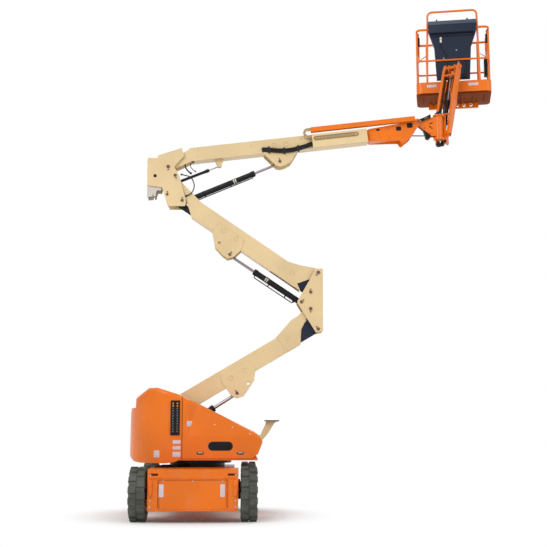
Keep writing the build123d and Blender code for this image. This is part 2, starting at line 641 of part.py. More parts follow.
def level_link(length):
    """A pair of flat bars with an eye at each end, joined by a cross tube."""
    half = LINK_DEPTH / 2
    bars = plate([(0, -half), (length, -half), (length, half), (0, half)], LINK_INNER, LINK_OUTER)
    for x in (0, length):
        bars += pin((x, 0), half, LINK_INNER, LINK_OUTER)
        bars -= pin((x, 0), 18 + FIT, 0, 200)
    pair = both_sides(bars)
    return pair + pin((length * 0.5, 0), 12, -LINK_INNER, LINK_INNER)


save(at_pivot(lower_boom(), LOWER_PIVOT, LOWER_REST), "lower_boom")
save(at_pivot(level_link(LOWER_LENGTH), LOWER_LINK_FOOT, LOWER_REST), "lower_level_link")
save(at_pivot(mid_boom(), KNEE_HIGH, -MID_REST), "mid_boom")
save(at_pivot(level_link(MID_LENGTH), MID_LINK_FOOT, 180 - MID_REST), "mid_level_link")


def knee():
    """Two plates and a back web, with the five pins that they carry."""
    outline = [  # each corner is drawn from the pin that it stands nearest to
        moved(KNEE_HIGH, (70, 63)),
        moved(KNEE_LOW, (182, -342)),
        moved(KNEE_LOW, (77, -357)),
        moved(MID_CYLINDER_FOOT, (-60, -18)),
        moved(MID_CYLINDER_FOOT, (-60, 14)),
        moved(KNEE_HIGH, (-125, -100)),
        moved(KNEE_HIGH, (-49, 58)),
    ]
    body = both_sides(plate(outline, KNEE_INNER, KNEE_OUTER))
    web_x, web_foot = moved(KNEE_LOW, (168, -182))
    body += block(web_x, web_x + WEB_PLATE, -KNEE_INNER - 1, KNEE_INNER + 1, web_foot, KNEE_HIGH[1] - 142)
    pins = (  # place, radius
        (KNEE_HIGH, 25),
        (KNEE_LOW, 25),
        (MID_LINK_FOOT, 18),
        (LOWER_LINK_HEAD, 18),
        (MID_CYLINDER_FOOT, 20),
    )
    for at, radius in pins:
        body += pin(at, radius, -KNEE_OUTER - 8, KNEE_OUTER + 8)
    return body


save(knee(), "knee")


def upright():
    """The upright between tower and main boom: outer plates, inner plates, a rear web and its pins."""
    outer = [(-646, 5380), (-284, 5502), (-245, 5379), (-372, 5235), (-395, 5197), (-315, 5065),
             (-208, 4660), (-226, 4594), (-473, 4594), (-511, 4668), (-578, 4883), (-799, 4910),
             (-807, 5127), (-799, 5341), (-652, 5341)]
    body = both_sides(plate(outer, KNEE_INNER, KNEE_OUTER))
    px, pz = MID_TOP
    inner = [(px - 70, pz + 95), (px + 10, pz + 40), (px + 60, pz - 60), (px + 150, pz - 370),
             (px + 130, pz - 425), (px + 70, pz - 420), (px - 60, pz - 120)]
    mx, mz = MAIN_PIVOT
    inner = [(mx - 40, mz + 30), (mx + 30, mz + 40)] + inner[1:]
    body += both_sides(plate(inner, UPRIGHT_PLATE_INNER, UPRIGHT_PLATE_OUTER))
    body += block(-805, -805 + WEB_PLATE, -KNEE_INNER - 1, KNEE_INNER + 1, 4915, 5330)
    for at, radius in ((MAIN_PIVOT, 28), (MID_TOP, 25)):
        body += pin(at, radius, -KNEE_OUTER - 8, KNEE_OUTER + 8)
    body += pin(MID_LINK_HEAD, 18, -KNEE_OUTER - 6, KNEE_OUTER + 6)
    body += pin(LIFT_PIVOT, 22, -UPRIGHT_PLATE_OUTER, UPRIGHT_PLATE_OUTER)
    body += both_sides(pin(LIFT_PIVOT, 22, KNEE_INNER, KNEE_OUTER + 8))
    return body + pin(LEVEL_PIVOT, 12, -UPRIGHT_PLATE_OUTER, UPRIGHT_PLATE_OUTER)


save(upright(), "upright")


# ---- Cylinders --------------------------------------------------------------------------------
def cylinder(foot, eye, barrel_length, retract, bore, rod_radius, foot_pin, eye_radius, half_width):
    """The barrel and rod of a hydraulic cylinder between two pins; it can retract by a length."""
    length = hypot(eye[0] - foot[0], eye[1] - foot[1])
    angle = degrees(atan2(eye[1] - foot[1], eye[0] - foot[0]))
    outer = bore + 8
    start = outer + 6
    cap, gland = 20, 40
    barrel = bar((start, 0, 0), (barrel_length, 0, 0), outer)
    barrel += bar((barrel_length - gland - 20, 0, 0), (barrel_length - 6, 0, 0), outer + 5)
    barrel += pin((0, 0), outer + 2, -half_width, half_width)
    barrel += block(0, start + cap, 4 - half_width, half_width - 4, -outer * 0.7, outer * 0.7)
    barrel -= bar((start + cap, 0, 0), (barrel_length - gland, 0, 0), bore)
    barrel -= bar((start + cap, 0, 0), (barrel_length + 10, 0, 0), rod_radius + FIT)
    barrel -= pin((0, 0), foot_pin + FIT, -100, 100)
    piston = start + cap + retract
    rod = bar((piston, 0, 0), (length - eye_radius * 0.6, 0, 0), rod_radius)
    rod += bar((piston, 0, 0), (piston + 40, 0, 0), bore - FIT)
    rod += pin((length, 0), eye_radius, -half_width, half_width)
    rod -= pin((length, 0), eye_radius * 0.5, -100, 100)
    return at_pivot(barrel, foot, angle), at_pivot(rod, foot, angle)


lower_eye = moved(LOWER_PIVOT, turned(ROD_PIN_ON_LOWER, LOWER_REST))
mid_eye = moved(KNEE_HIGH, turned(ROD_PIN_ON_MID, -MID_REST))
main_eye = moved(MAIN_PIVOT, turned(ROD_PIN_ON_MAIN, MAIN_REST))
level_eye = moved(MAIN_PIVOT, turned(LEVEL_PIN_ON_MAIN, MAIN_REST))
CYLINDERS = (  # name, foot, eye, barrel length, retract, bore, rod, foot pin, eye radius, half width
    ("lower_lift", LOWER_CYLINDER_FOOT, lower_eye, 800, 305, 40, 24, 22, 38, 40),
    ("mid_lift", MID_CYLINDER_FOOT, mid_eye, 860, 290, 36, 22, 20, 36, 38),
    ("main_lift", LIFT_PIVOT, main_eye, 1196, 130, 34, 20, 22, 36, 36),
    ("level_master", LEVEL_PIVOT, level_eye, 520, 70, 14, 9, 12, 20, 22),
)
for name, *sizes in CYLINDERS:
    barrel, rod = cylinder(*sizes)
    save(barrel, f"{name}_barrel")
    save(rod, f"{name}_rod")


# ---- Main boom and fly section ----------------------------------------------------------------
def main_boom():
    """The base section: a hollow box with ears round its pivot, lugs below and a hose tray beside."""
    half = MAIN_HALF_WIDTH
    box = block(MAIN_START, MAIN_END, -half, half, MAIN_BOTTOM, MAIN_TOP)
    wall = MAIN_WALL
    box -= block(MAIN_START - 10, MAIN_END + 10, -half + wall, half - wall, MAIN_BOTTOM + wall,
                 MAIN_TOP - wall)
    ear = [(0, 66), (-66, 0), (-40, -52), (40, -52), (MAIN_START + 70, MAIN_BOTTOM + 20),
           (MAIN_START + 60, MAIN_TOP - 20), (MAIN_START - 10, MAIN_TOP - 20)]
    box += both_sides(plate(ear, half - 13, half - 1, holes=[(0, 0, 28 + FIT)]))
    lug = [(1475, 85), (1475, 40), (1640, -165), (1705, -183), (1775, -170), (1870, -130), (2000, 40),
           (2000, 85)]
    lugs = plate(lug, half, MAIN_LUG_OUTER) + pin(ROD_PIN_ON_MAIN, 20, 55, MAIN_LUG_OUTER + 8)
    box += both_sides(lugs)
    x, z = LEVEL_PIN_ON_MAIN
    box += both_sides(plate([(x - 70, 60), (x - 22, z - 20), (x + 22, z - 20), (x + 70, 60)], 30, 40))
    box += both_sides(pin((x, z), 10, 27, 44))
    shelf = CARRIER_HEIGHT - CARRIER_OUTER - FIT
    tray = block(2235, 3090, CARRIER_Y_LOW - 10, -half, shelf - 5, shelf)
    tray += block(2235, 3090, CARRIER_Y_LOW - 10, CARRIER_Y_LOW - 4, 40, 250)
    return box + tray


def fly_section():
    """The inner section, its flared nose plates, and the rail that carries the hoses."""
    half = MAIN_HALF_WIDTH - MAIN_WALL - FLY_GAP
    low = MAIN_BOTTOM + MAIN_WALL + FLY_GAP
    high = MAIN_TOP - MAIN_WALL - FLY_GAP
    wall = FLY_WALL
    fly = block(FLY_START, FLY_NOSE + 60, -half, half, low, high)
    fly -= block(FLY_START - 10, FLY_NOSE + 90, -half + wall, half - wall, low + wall, high - wall)
    pad = FLY_GAP - FIT
    for x in (FLY_START + 20, MAIN_END - 90):
        fly += block(x, x + 80, -half - pad, half + pad, low - pad, high + pad) - block(
            x - 5, x + 85, -half, half, low, high)
    nose = [(FLY_NOSE, 62), (FLY_NOSE, 258), (3700, 297), (3860, 335), (3950, 330), (3965, 291),
            (3930, 250), (3760, 45), (3620, -42), (3590, 25)]
    fly += both_sides(plate(nose, half - 2, half + 12))
    fly += block(FLY_NOSE, 3600, -half, half, 62, 70) + block(FLY_NOSE, 3690, -half, half, 250, 258)
    fly += pin(HEAD_PIN_ON_FLY, 20, -half - 20, half + 20)
    top = CARRIER_HEIGHT + CARRIER_OUTER + FIT
    rail = block(2235, 3860, CARRIER_Y_LOW - 9, CARRIER_Y_HIGH + 9, 290, top + 5)
    rail -= block(2225, 3850, CARRIER_Y_LOW - 4, CARRIER_Y_HIGH + 4, 280, top)
    fly += rail + block(3700, 3860, -112, -half, 290, 330)
    return fly


def hose_carrier():
    """A folded hose chain: an upper run in the rail, a half round, and a lower run over the tray."""
    width = (CARRIER_Y_LOW, CARRIER_Y_HIGH)
    centre = (2185.0, CARRIER_HEIGHT)
    outer, inner = CARRIER_OUTER, CARRIER_OUTER - 40
    loop = pin(centre, outer, *width) - pin(centre, inner, -300, 0)
    loop -= block(centre[0], centre[0] + 200, -300, 0, 0, 600)
    top = block(centre[0], 2860, *width, centre[1] + inner, centre[1] + outer)
    bottom = block(centre[0], 2530, *width, centre[1] - outer, centre[1] - inner)
    return loop + top + bottom


save(at_pivot(main_boom(), MAIN_PIVOT, MAIN_REST), "main_boom")
save(at_pivot(fly_section(), MAIN_PIVOT, MAIN_REST), "fly_section")
save(at_pivot(hose_carrier(), MAIN_PIVOT, MAIN_REST), "hose_carrier")


# ---- Swing head -------------------------------------------------------------------------------
def level_head():
    """The gussets and post of the swing head, pinned to the fly section's nose."""
    kx, kz = HEAD_PIVOT
    gusset = [(kx - 32, kz + 10), (kx, kz + 34), (SWING_X - 40, SWING_HIGH - 10),
              (SWING_X - 40, SWING_LOW + 20), (SWING_X - 120, SWING_LOW + 20), (kx - 20, kz - 30)]
    head = both_sides(plate(gusset, 34, 50, holes=[(kx, kz, 20 + FIT)]))
    axis = Pos(SWING_X, 0, (SWING_LOW + SWING_HIGH) / 2)
    return head + axis * Cylinder(SWING_RADIUS, SWING_HIGH - SWING_LOW)


def level_lever():
    """The arm under the head that the levelling rod pushes."""
    kx, kz = HEAD_PIVOT
    sx, sz = SLAVE_PIN
    arm = [(kx + 60, kz - 40), (kx + 150, kz - 60), (sx + 60, sz - 20), (sx + 25, sz - 62),
           (sx - 20, sz - 50), (sx - 40, sz + 20)]
    return both_sides(plate(arm, LEVER_INNER, 34) + pin(SLAVE_PIN, 12, LEVER_INNER, 40))


def slave_rod():
    """The levelling rod that comes out of the fly section."""
    start = (SLAVE_PIN[0] - 460, SLAVE_PIN[1])
    rod = bar((start[0], 0, start[1]), (SLAVE_PIN[0] - 15, 0, SLAVE_PIN[1]), 11)
    half = LEVER_INNER - FIT
    return rod + pin(SLAVE_PIN, 20, -half, half) - pin(SLAVE_PIN, 9, -50, 50)


save(level_head(), "level_head")
save(level_lever(), "level_lever")
save(slave_rod(), "slave_rod")


def on_jib(shape):
    """Places a shape drawn in the jib's own plane: X along its azimuth from the swing axis."""
    return Pos(SWING_X, 0, 0) * Rot(0, 0, JIB_AZIMUTH) * shape


JIB_FOOT_LINK = moved(JIB_PIVOT, JIB_LINK_OFFSET)
JIB_TOP = moved(JIB_PIVOT, turned((JIB_LENGTH, 0), JIB_REST))
JIB_TOP_LINK = moved(JIB_TOP, JIB_LINK_OFFSET)
JIB_EYE = moved(JIB_PIVOT, turned((JIB_ROD_PIN, 0), JIB_REST))


def jib_base():
    """The bracket that swings round the post: two flanges, a back wall and ears for the jib."""
    jx, jz = JIB_PIVOT
    body = Pos(0, 0, SWING_LOW - FIT - 15) * Cylinder(85, 30)
    body += Pos(0, 0, SWING_HIGH + FIT + 10) * Cylinder(85, 20)
    wall_low, wall_high = SWING_LOW - FIT - 30, SWING_HIGH + FIT + 20
    body += block(0, 86, -80, 80, wall_low, wall_low + 30) + block(0, 86, -80, 80, wall_high - 20, wall_high)
    body += block(72, 86, -88, 88, wall_low, wall_high)
    ear = [(72, jz - 165), (72, jz + 80), (jx + 20, jz + 45), (jx + 45, jz), (jx + 60, jz - 120),
           (jx + 30, jz - 165)]
    body += both_sides(plate(ear, 80, 90))
    body += both_sides(pin(JIB_PIVOT, 20, 76, JIB_OUTER + 6))
    return body + pin(JIB_FOOT_LINK, 14, -90, 90)


def jib():
    """Two tapered side beams, a top cross tube that is the head's pivot, and a lower cross tube."""
    beam = [(0, 42), (-42, 0), (0, -42), (300, -50), (JIB_LENGTH - 100, -50), (JIB_LENGTH + 40, -30),
            (JIB_LENGTH + 40, 34), (JIB_LENGTH - 100, 62), (300, 56)]
    body = both_sides(plate(beam, JIB_INNER, JIB_OUTER, holes=[(0, 0, 20 + FIT)]))
    body += pin((JIB_LENGTH, 0), 30, -JIB_INNER - 5, JIB_INNER + 5)
    body += pin((380, 32), 18, -JIB_INNER - 5, JIB_INNER + 5)
    body += pin((JIB_ROD_PIN, 54), 16, -JIB_INNER - 5, JIB_INNER + 5)
    lug = [(JIB_ROD_PIN - 24, 56), (JIB_ROD_PIN - 20, -20), (JIB_ROD_PIN + 20, -20), (JIB_ROD_PIN + 24, 56)]
    return body + both_sides(plate(lug, 30, 38) + pin((JIB_ROD_PIN, 0), 10, 26, 42))


def jib_link():
    half = 22
    bars = plate([(0, -half), (JIB_LENGTH, -half), (JIB_LENGTH, half), (0, half)], 62, 72)
    for x in (0, JIB_LENGTH):
        bars += pin((x, 0), half + 4, 62, 72)
        bars -= pin((x, 0), 14 + FIT, 0, 200)
    return both_sides(bars)


def jib_head():
    """The levelled head: ears on the jib's top tube and link pin, and the rotator's housing."""
    hx, hz = JIB_TOP
    lx, lz = JIB_TOP_LINK
    ear = [(hx - 30, hz + 40), (hx + 30, hz + 40), (PLATFORM_AXIS + 40, hz - 60),
           (PLATFORM_AXIS + 40, lz - 190), (PLATFORM_AXIS - 45, lz - 190), (lx - 32, lz - 20),
           (hx - 44, hz - 10)]
    body = both_sides(plate(ear, 44, 56, holes=[(hx, hz, 30 + FIT)]))
    low, high = PLATFORM_FLOOR + FIT, hz - 60
    body += Pos(PLATFORM_AXIS, 0, (low + high) / 2) * Cylinder(50, high - low)
    return body + pin(JIB_TOP_LINK, 14, -74, 74)


save(on_jib(jib_base()), "jib_base")
save(on_jib(at_pivot(jib(), JIB_PIVOT, JIB_REST)), "jib")
save(on_jib(at_pivot(jib_link(), JIB_FOOT_LINK, JIB_REST)), "jib_level_link")
save(on_jib(jib_head()), "jib_head")


barrel, rod = cylinder(JIB_FOOT_LINK, JIB_EYE, 800, 240, 22, 13, 14, 20, 22)
save(on_jib(barrel), "jib_lift_barrel")
save(on_jib(rod), "jib_lift_rod")


# ---- Platform ---------------------------------------------------------------------------------
AXIS_X = SWING_X + PLATFORM_AXIS * cos(radians(JIB_AZIMUTH))
AXIS_Y = PLATFORM_AXIS * sin(radians(JIB_AZIMUTH))


def on_platform(shape):
    """Places a shape drawn with X along the near side, Y into the platform and Z from its floor."""
    turn = PLATFORM_AZIMUTH - 90
    return Pos(AXIS_X, AXIS_Y, PLATFORM_FLOOR) * Rot(0, 0, turn) * Pos(0, PLATFORM_SETBACK, 0) * shape


HALF = PLATFORM_LENGTH / 2
FLOOR_SHEET = 6.0
TOE_HEIGHT = 185.0


def platform_floor():
    """The floor tray with rounded corners and its toe boards."""
    tray = extrude(Pos(0, PLATFORM_DEPTH / 2) * RectangleRounded(PLATFORM_LENGTH, PLATFORM_DEPTH, 90), TOE_HEIGHT)
    hollow = extrude(
        Pos(0, PLATFORM_DEPTH / 2, FLOOR_SHEET) * RectangleRounded(
            PLATFORM_LENGTH - 2 * FLOOR_SHEET, PLATFORM_DEPTH - 2 * FLOOR_SHEET, 84), TOE_HEIGHT)
    return tray - hollow


def platform_support():
    """The arm from the rotator under the floor, and the cross beam with its three holes."""
    drop = 92.0
    low = -drop
    body = Pos(0, -PLATFORM_SETBACK, -14) * Cylinder(66, 28)
    body += block(-55, 55, -PLATFORM_SETBACK, 700, low + 30, -FIT)
    beam = block(-415, 415, 590, 640, low, -FIT)
    for x in (60, 175, 290):
        beam -= Pos(x, 615, low / 2) * Rot(90, 0, 0) * Cylinder(28, 80)
    return body + beam


def tube(points, radius, bend):
    """A bent tube along points, with the same bend radius at each corner."""
    path = FilletPolyline(*points, radius=bend)
    start = Plane(origin=points[0], z_dir=Vector(*points[1]) - Vector(*points[0]))
    return sweep(start * Circle(radius), path=path)


def guard_rails():
    """Rails round the platform on posts; the near posts run up into the tall loop over the console."""
    inset_by = TUBE_RADIUS + FLOOR_SHEET
    low_y, high_y = inset_by, PLATFORM_DEPTH - inset_by
    low_x, high_x = -HALF + inset_by, HALF - inset_by
    foot = FLOOR_SHEET + 1
    body = tube([(-430, low_y, foot), (-400, low_y, LOOP_HEIGHT), (400, low_y, LOOP_HEIGHT),
                 (430, low_y, foot)], POST_RADIUS, 75)
    for z, radius in ((RAIL_HEIGHT, TUBE_RADIUS), (MID_RAIL_HEIGHT, MID_RAIL_RADIUS)):
        body += tube([(low_x, GATE_LOW, z), (low_x, low_y, z), (high_x, low_y, z), (high_x, high_y, z),
                      (low_x, high_y, z), (low_x, GATE_HIGH, z)], radius, 70)
    posts = (  # x, y
        (-430, high_y),
        (0, high_y),
        (430, high_y),
        (high_x, 140),
        (high_x, 620),
        (low_x, GATE_LOW),
        (low_x, GATE_HIGH),
    )
    for x, y in posts:
        body += bar((x, y, FLOOR_SHEET), (x, y, RAIL_HEIGHT + 5), POST_RADIUS)
    return body


def console():
    """The control console: a shield that widens to the control box at its top."""
    outline = [(-270, 240), (270, 240), (300, 790), (390, 1060), (390, 1215), (-390, 1215), (-390, 1060),
               (-300, 790)]
    sheet = 4.0
    front = 2 * TUBE_RADIUS + FLOOR_SHEET + FIT
    back = front + 70
    body = plate(outline, front, back)
    return body - plate(inset(outline, sheet), front + sheet, back + 1)


def gate():
    """The gate in the left end, a tube frame with a mid bar, hinged at the far post."""
    x = -HALF + TUBE_RADIUS + FLOOR_SHEET
    low, high = GATE_LOW + POST_RADIUS + 22, GATE_HIGH - POST_RADIUS - 16 - FIT
    frame = None
    for start, end in (
            ((x, low, 260), (x, low, 1060)), ((x, high, 260), (x, high, 1060)),
            ((x, low, 260), (x, high, 260)), ((x, low, 1060), (x, high, 1060)),
            ((x, low, 660), (x, high, 660))):
        piece = bar(start, end, 16)
        frame = piece if frame is None else frame + piece
    return frame


save(on_platform(platform_floor()), "platform_floor")
save(on_platform(platform_support()), "platform_support")
save(on_platform(guard_rails()), "guard_rails")
save(on_platform(console()), "console")
save(on_platform(gate()), "gate")
box_face = HALF - TUBE_RADIUS - FLOOR_SHEET - MID_RAIL_RADIUS - FIT
save(on_platform(block(box_face - 55, box_face, 330, 470, 380, 660)), "document_box")
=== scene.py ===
# %% [markdown]
# # An articulating boom lift in a studio
#
# The machine is already built: its steel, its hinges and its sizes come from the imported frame. This
# notebook gives every part its finish, adds the small things that are bolted, welded or moulded onto
# it, and puts it in a pale studio. Every length is in metres.

# %% The frame and the tools
import json
import math

import bpy
import numpy as np
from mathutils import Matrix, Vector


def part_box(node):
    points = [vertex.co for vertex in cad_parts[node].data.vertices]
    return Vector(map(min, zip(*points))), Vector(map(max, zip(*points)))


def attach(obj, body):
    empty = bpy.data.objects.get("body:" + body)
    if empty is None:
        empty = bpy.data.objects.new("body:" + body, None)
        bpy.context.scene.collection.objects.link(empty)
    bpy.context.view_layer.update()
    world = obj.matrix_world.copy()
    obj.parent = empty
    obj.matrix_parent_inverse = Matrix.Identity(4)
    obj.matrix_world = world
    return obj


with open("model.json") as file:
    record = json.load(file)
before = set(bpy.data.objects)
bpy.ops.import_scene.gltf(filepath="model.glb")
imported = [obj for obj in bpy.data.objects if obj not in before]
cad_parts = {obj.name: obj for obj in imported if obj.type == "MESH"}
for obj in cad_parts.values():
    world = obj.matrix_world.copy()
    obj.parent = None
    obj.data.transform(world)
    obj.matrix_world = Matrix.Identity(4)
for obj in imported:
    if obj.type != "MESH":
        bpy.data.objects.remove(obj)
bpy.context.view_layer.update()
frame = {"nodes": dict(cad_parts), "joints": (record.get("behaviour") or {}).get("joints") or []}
nodes = frame["nodes"]

# %% [markdown]
# ## Camera
#
# The machine is seen from far away with a long lens, from about eye height, so that its upper half is
# looked up at. The camera stands almost square to the booms and is aimed a little to the right.

# %% Camera
EYE = (0.666, -15.257, 1.293)
HEADING = math.radians(1.716)    # turned to the right of +Y
RAISED = math.radians(8.543)     # tipped up from level
FIELD = 0.26935198               # tangent of half the field of view

camera = bpy.data.objects.new("camera", bpy.data.cameras.new("camera"))
bpy.context.scene.collection.objects.link(camera)
camera.location = EYE
camera.rotation_euler = (math.pi / 2 + RAISED, 0, -HEADING)
camera.data.sensor_width = 36.0
camera.data.lens = 18.0 / FIELD
bpy.context.scene.camera = camera
bpy.context.scene.view_settings.view_transform = "Standard"
print("lens", round(camera.data.lens, 1), "mm")

# %% [markdown]
# ## Writing shaders as sums
#
# A node tree is easier to read as arithmetic. `Value` wraps one number that varies over a surface, and
# its operators add Math nodes. `Sums` wraps a node tree, and its `node` makes any other node. `Finish`
# is the tree of a material: `blend` mixes two colours and `bump` turns a height into a normal.

# %% Shader arithmetic
class Value:
    """A number that varies over a surface; its operators add Math nodes."""

    def __init__(self, sums, socket):
        self.sums, self.socket = sums, socket

    def maths(self, operation, left, right):
        return self.sums.node("ShaderNodeMath", {"operation": operation}, {0: left, 1: right})

    def __add__(self, other):
        return self.maths("ADD", self, other)

    def __rsub__(self, other):
        return self.maths("SUBTRACT", other, self)

    def __mul__(self, other):
        return self.maths("MULTIPLY", self, other)

    __radd__ = __add__


class Sums:
    """A node tree that is written as expressions."""

    def __init__(self, tree):
        self.tree = tree

    def node(self, kind, settings=None, inputs=None, output=0):
        made = self.tree.nodes.new(kind)
        for key, value in (settings or {}).items():
            setattr(made, key, value)
        for key, value in (inputs or {}).items():
            if isinstance(value, Value):
                self.tree.links.new(value.socket, made.inputs[key])
            else:
                made.inputs[key].default_value = value
        return Value(self, made.outputs[output])

    def whiten(self, kind, shader, end, share=1.0):
        """Plain white, by a share, for rays from the camera or a mirror; other rays meet the shader."""
        seen = self.node("ShaderNodeLightPath", output="Is Camera Ray")
        mirrored = self.node("ShaderNodeLightPath", output="Is Glossy Ray")
        white = self.node(kind, None, {"Color": (1, 1, 1, 1), "Strength": 1.0})
        share = seen.maths("MAXIMUM", seen, mirrored) * share
        mixed = self.node("ShaderNodeMixShader", None, {0: share, 2: white})
        self.tree.links.new(shader.outputs[0], mixed.socket.node.inputs[1])
        self.tree.links.new(mixed.socket, self.tree.nodes[end].inputs["Surface"])


class Finish(Sums):
    """A material that is written as expressions."""

    def __init__(self, name, **shader):
        self.material = bpy.data.materials.new(name)
        self.material.use_nodes = True
        super().__init__(self.material.node_tree)
        self.shader = self.tree.nodes["Principled BSDF"]
        for socket, value in shader.items():
            self.shader.inputs[socket.replace("_", " ")].default_value = value
        self.place = self.node("ShaderNodeTexCoord", output="Object")

    def feed(self, socket, value):
        self.tree.links.new(value.socket, self.shader.inputs[socket])

    def noise(self, scale, detail=3.0):
        inputs = {"Vector": self.place, "Scale": scale, "Detail": detail}
        return self.node("ShaderNodeTexNoise", None, inputs)

    def band(self, value, low, high):
        """0 below low, 1 above high and a smooth step between."""
        return self.node("ShaderNodeMapRange", {"interpolation_type": "SMOOTHSTEP"},
                         {"Value": value, "From Min": low, "From Max": high})

    def blend(self, share, first, second):
        mix = self.tree.nodes.new("ShaderNodeMix")
        mix.data_type = "RGBA"
        for slot, value in (("Factor", share), ("A", first), ("B", second)):
            sockets = [s for s in mix.inputs if s.name == slot and s.enabled]
            if isinstance(value, Value):
                self.tree.links.new(value.socket, sockets[0])
            else:
                sockets[0].default_value = value if slot == "Factor" else (*value[:3], 1)
        return Value(self, [s for s in mix.outputs if s.enabled][0])

    def bump(self, height, depth, rounded=0.0):
        """A normal from a height; rounded softens the solid's own edges by that radius."""
        inputs = {"Height": height, "Strength": 1.0, "Distance": depth}
        if rounded:
            inputs["Normal"] = self.node("ShaderNodeBevel", {"samples": 4}, {"Radius": rounded})
        self.feed("Normal", self.node("ShaderNodeBump", None, inputs))


def near(colour, factor):
    """The same colour made darker or lighter."""
    return tuple(min(1.0, c * factor) for c in colour)


# %% [markdown]
# ## Paint
#
# Two gloss paints cover the machine: an orange on the chassis, hoods, fly section, jib and platform,
# and a warm cream on the tower and main boom. Sprayed paint has a faint orange-peel ripple, its colour
# drifts a little over a large panel, and road dust dulls it in soft patches, most of it low down.

# %% Paints
ORANGE = (0.84, 0.175, 0.002)
CREAM = (0.76, 0.575, 0.315)
BLACK = (0.008, 0.009, 0.012)
SLATE = (0.022, 0.029, 0.052)
DUST = (0.42, 0.36, 0.29)


def gloss_paint(name, colour, roughness=0.26, dust=0.05, rounded=0.004, shine=0.30, coat=0.12):
    """Sprayed enamel: drifting colour, patches of dust that grow towards the ground, a fine ripple."""
    paint = Finish(name, Coat_Weight=coat, Coat_Roughness=0.08, Specular_IOR_Level=shine)
    drift = paint.band(paint.noise(1.3, 2.0), 0.35, 0.65)
    patches = paint.band(paint.noise(5.0, 6.0), 0.48, 0.72)
    height = paint.node("ShaderNodeSeparateXYZ", None, {"Vector": paint.place}, output=2)
    low_down = 1 - paint.band(height, 0.1, 1.9)
    dusty = patches * (dust * 0.5 + low_down * dust)
    base = paint.blend(drift, near(colour, 0.93), near(colour, 1.04))
    paint.feed("Base Color", paint.blend(dusty, base, DUST))
    paint.feed("Roughness", roughness + dusty * 0.9 + paint.noise(40.0) * 0.05)
    paint.bump(paint.noise(260.0, 1.0), 0.00012, rounded)
    return paint.material


orange = gloss_paint("orange_paint", ORANGE)
cream = gloss_paint("cream_paint", CREAM, roughness=0.30)
black = gloss_paint("black_paint", BLACK, roughness=0.34, dust=0.03, shine=0.18, coat=0.0)
slate = gloss_paint("slate_paint", SLATE, roughness=0.42, dust=0.02, shine=0.12, coat=0.0)


# %% [markdown]
# ## Bare and plated metal, rubber and plastic
#
# A hydraulic rod is chromed and polished, with hair-fine marks round it. Bolts are zinc plated and
# slightly yellow. Solid tyres are grey with dust in their grain. The hose chain is tan moulded plastic,
# and the sheaths of hoses and cables are black with a satin skin.

# %% Metals
def grained(name, scale, detail, dark, light, roughness, spread, depth=0.0, **shader):
    """One fine noise drives the colour, the roughness and, where it has a depth, the relief."""
    finish = Finish(name, **shader)
    grain = finish.noise(scale, detail)
    finish.feed("Base Color", finish.blend(grain, dark, light))
    finish.feed("Roughness", roughness + grain * spread)
    if depth:
        finish.bump(grain, depth)
    return finish.material


rod_chrome = grained("chrome_rod", 60, 8, (0.24, 0.20, 0.22), (0.40, 0.35, 0.37), 0.16, 0.14, Metallic=1.0)
zinc = grained("zinc_plate", 300, 4, (0.36, 0.33, 0.28), (0.60, 0.57, 0.50), 0.32, 0.22, Metallic=1.0)
cast_iron = grained("cast_block", 70, 6, near(BLACK, 1.2), near(BLACK, 3.0), 0.45, 0.2, 0.0012)

# %% Rubber and plastics
def tyre_rubber():
    """Solid tyre rubber: grey-green, dusty in the grain, matt."""
    rubber = Finish("tyre_rubber", Specular_IOR_Level=0.3)
    grain = rubber.noise(35.0, 8.0)
    cloud = rubber.band(rubber.noise(4.0, 4.0), 0.35, 0.7)
    dark = rubber.blend(grain, (0.058, 0.063, 0.052), (0.088, 0.094, 0.078))
    rubber.feed("Base Color", rubber.blend(cloud * 0.55, dark, (0.150, 0.155, 0.128)))
    rubber.feed("Roughness", 0.72 + grain * 0.2)
    rubber.bump(grain, 0.0008)
    return rubber.material


def satin_plastic(name, colour, roughness=0.45, shine=0.25):
    """Moulded plastic: an even colour with a fine leather-like skin."""
    plastic = Finish(name, Specular_IOR_Level=shine)
    skin = plastic.noise(420.0, 2.0)
    plastic.feed("Base Color", plastic.blend(plastic.noise(8.0), near(colour, 0.85), near(colour, 1.15)))
    plastic.feed("Roughness", roughness + skin * 0.12)
    plastic.bump(skin, 0.0002)
    return plastic.material


rubber = tyre_rubber()
black_plastic = satin_plastic("black_plastic", (0.010, 0.011, 0.013), shine=0.15)
grey_plastic = satin_plastic("grey_plastic", (0.07, 0.075, 0.085))
pale_label = satin_plastic("pale_label", (0.66, 0.60, 0.62), 0.35)
hose_sheath = satin_plastic("hose_sheath", (0.012, 0.012, 0.013), 0.38)
chain_plastic = satin_plastic("chain_plastic", (0.42, 0.30, 0.17), 0.50)
white_plastic = satin_plastic("white_plastic", (0.70, 0.70, 0.68), 0.35)
amber = satin_plastic("amber_lens", (0.75, 0.30, 0.03), 0.15)
# A darker copy of the zinc plating: painted shade on pin caps and bolts.
zinc_in_painted_shade = satin_plastic("zinc_in_painted_shade", (0.16, 0.105, 0.10), 0.35)
shadow_cream = satin_plastic("shadow_cream", (0.30, 0.20, 0.10), 0.7)
shadow_gap = satin_plastic("shadow_gap", (0.055, 0.014, 0.006), 0.8)
plain = {"dust": 0.02, "shine": 0.15, "coat": 0.0}
black_gloss = gloss_paint("black_gloss", (0.008, 0.008, 0.009), 0.20, **plain)
slate_light = gloss_paint("slate_light", (0.075, 0.092, 0.130), 0.40, **plain)
# A greyer, bluer copy of the cream: painted shade and bluish reflection on the plates under the upright.
cream_painted_shade_and_reflection = gloss_paint("cream_painted_shade_and_reflection", (0.62, 0.56, 0.50), 0.34)
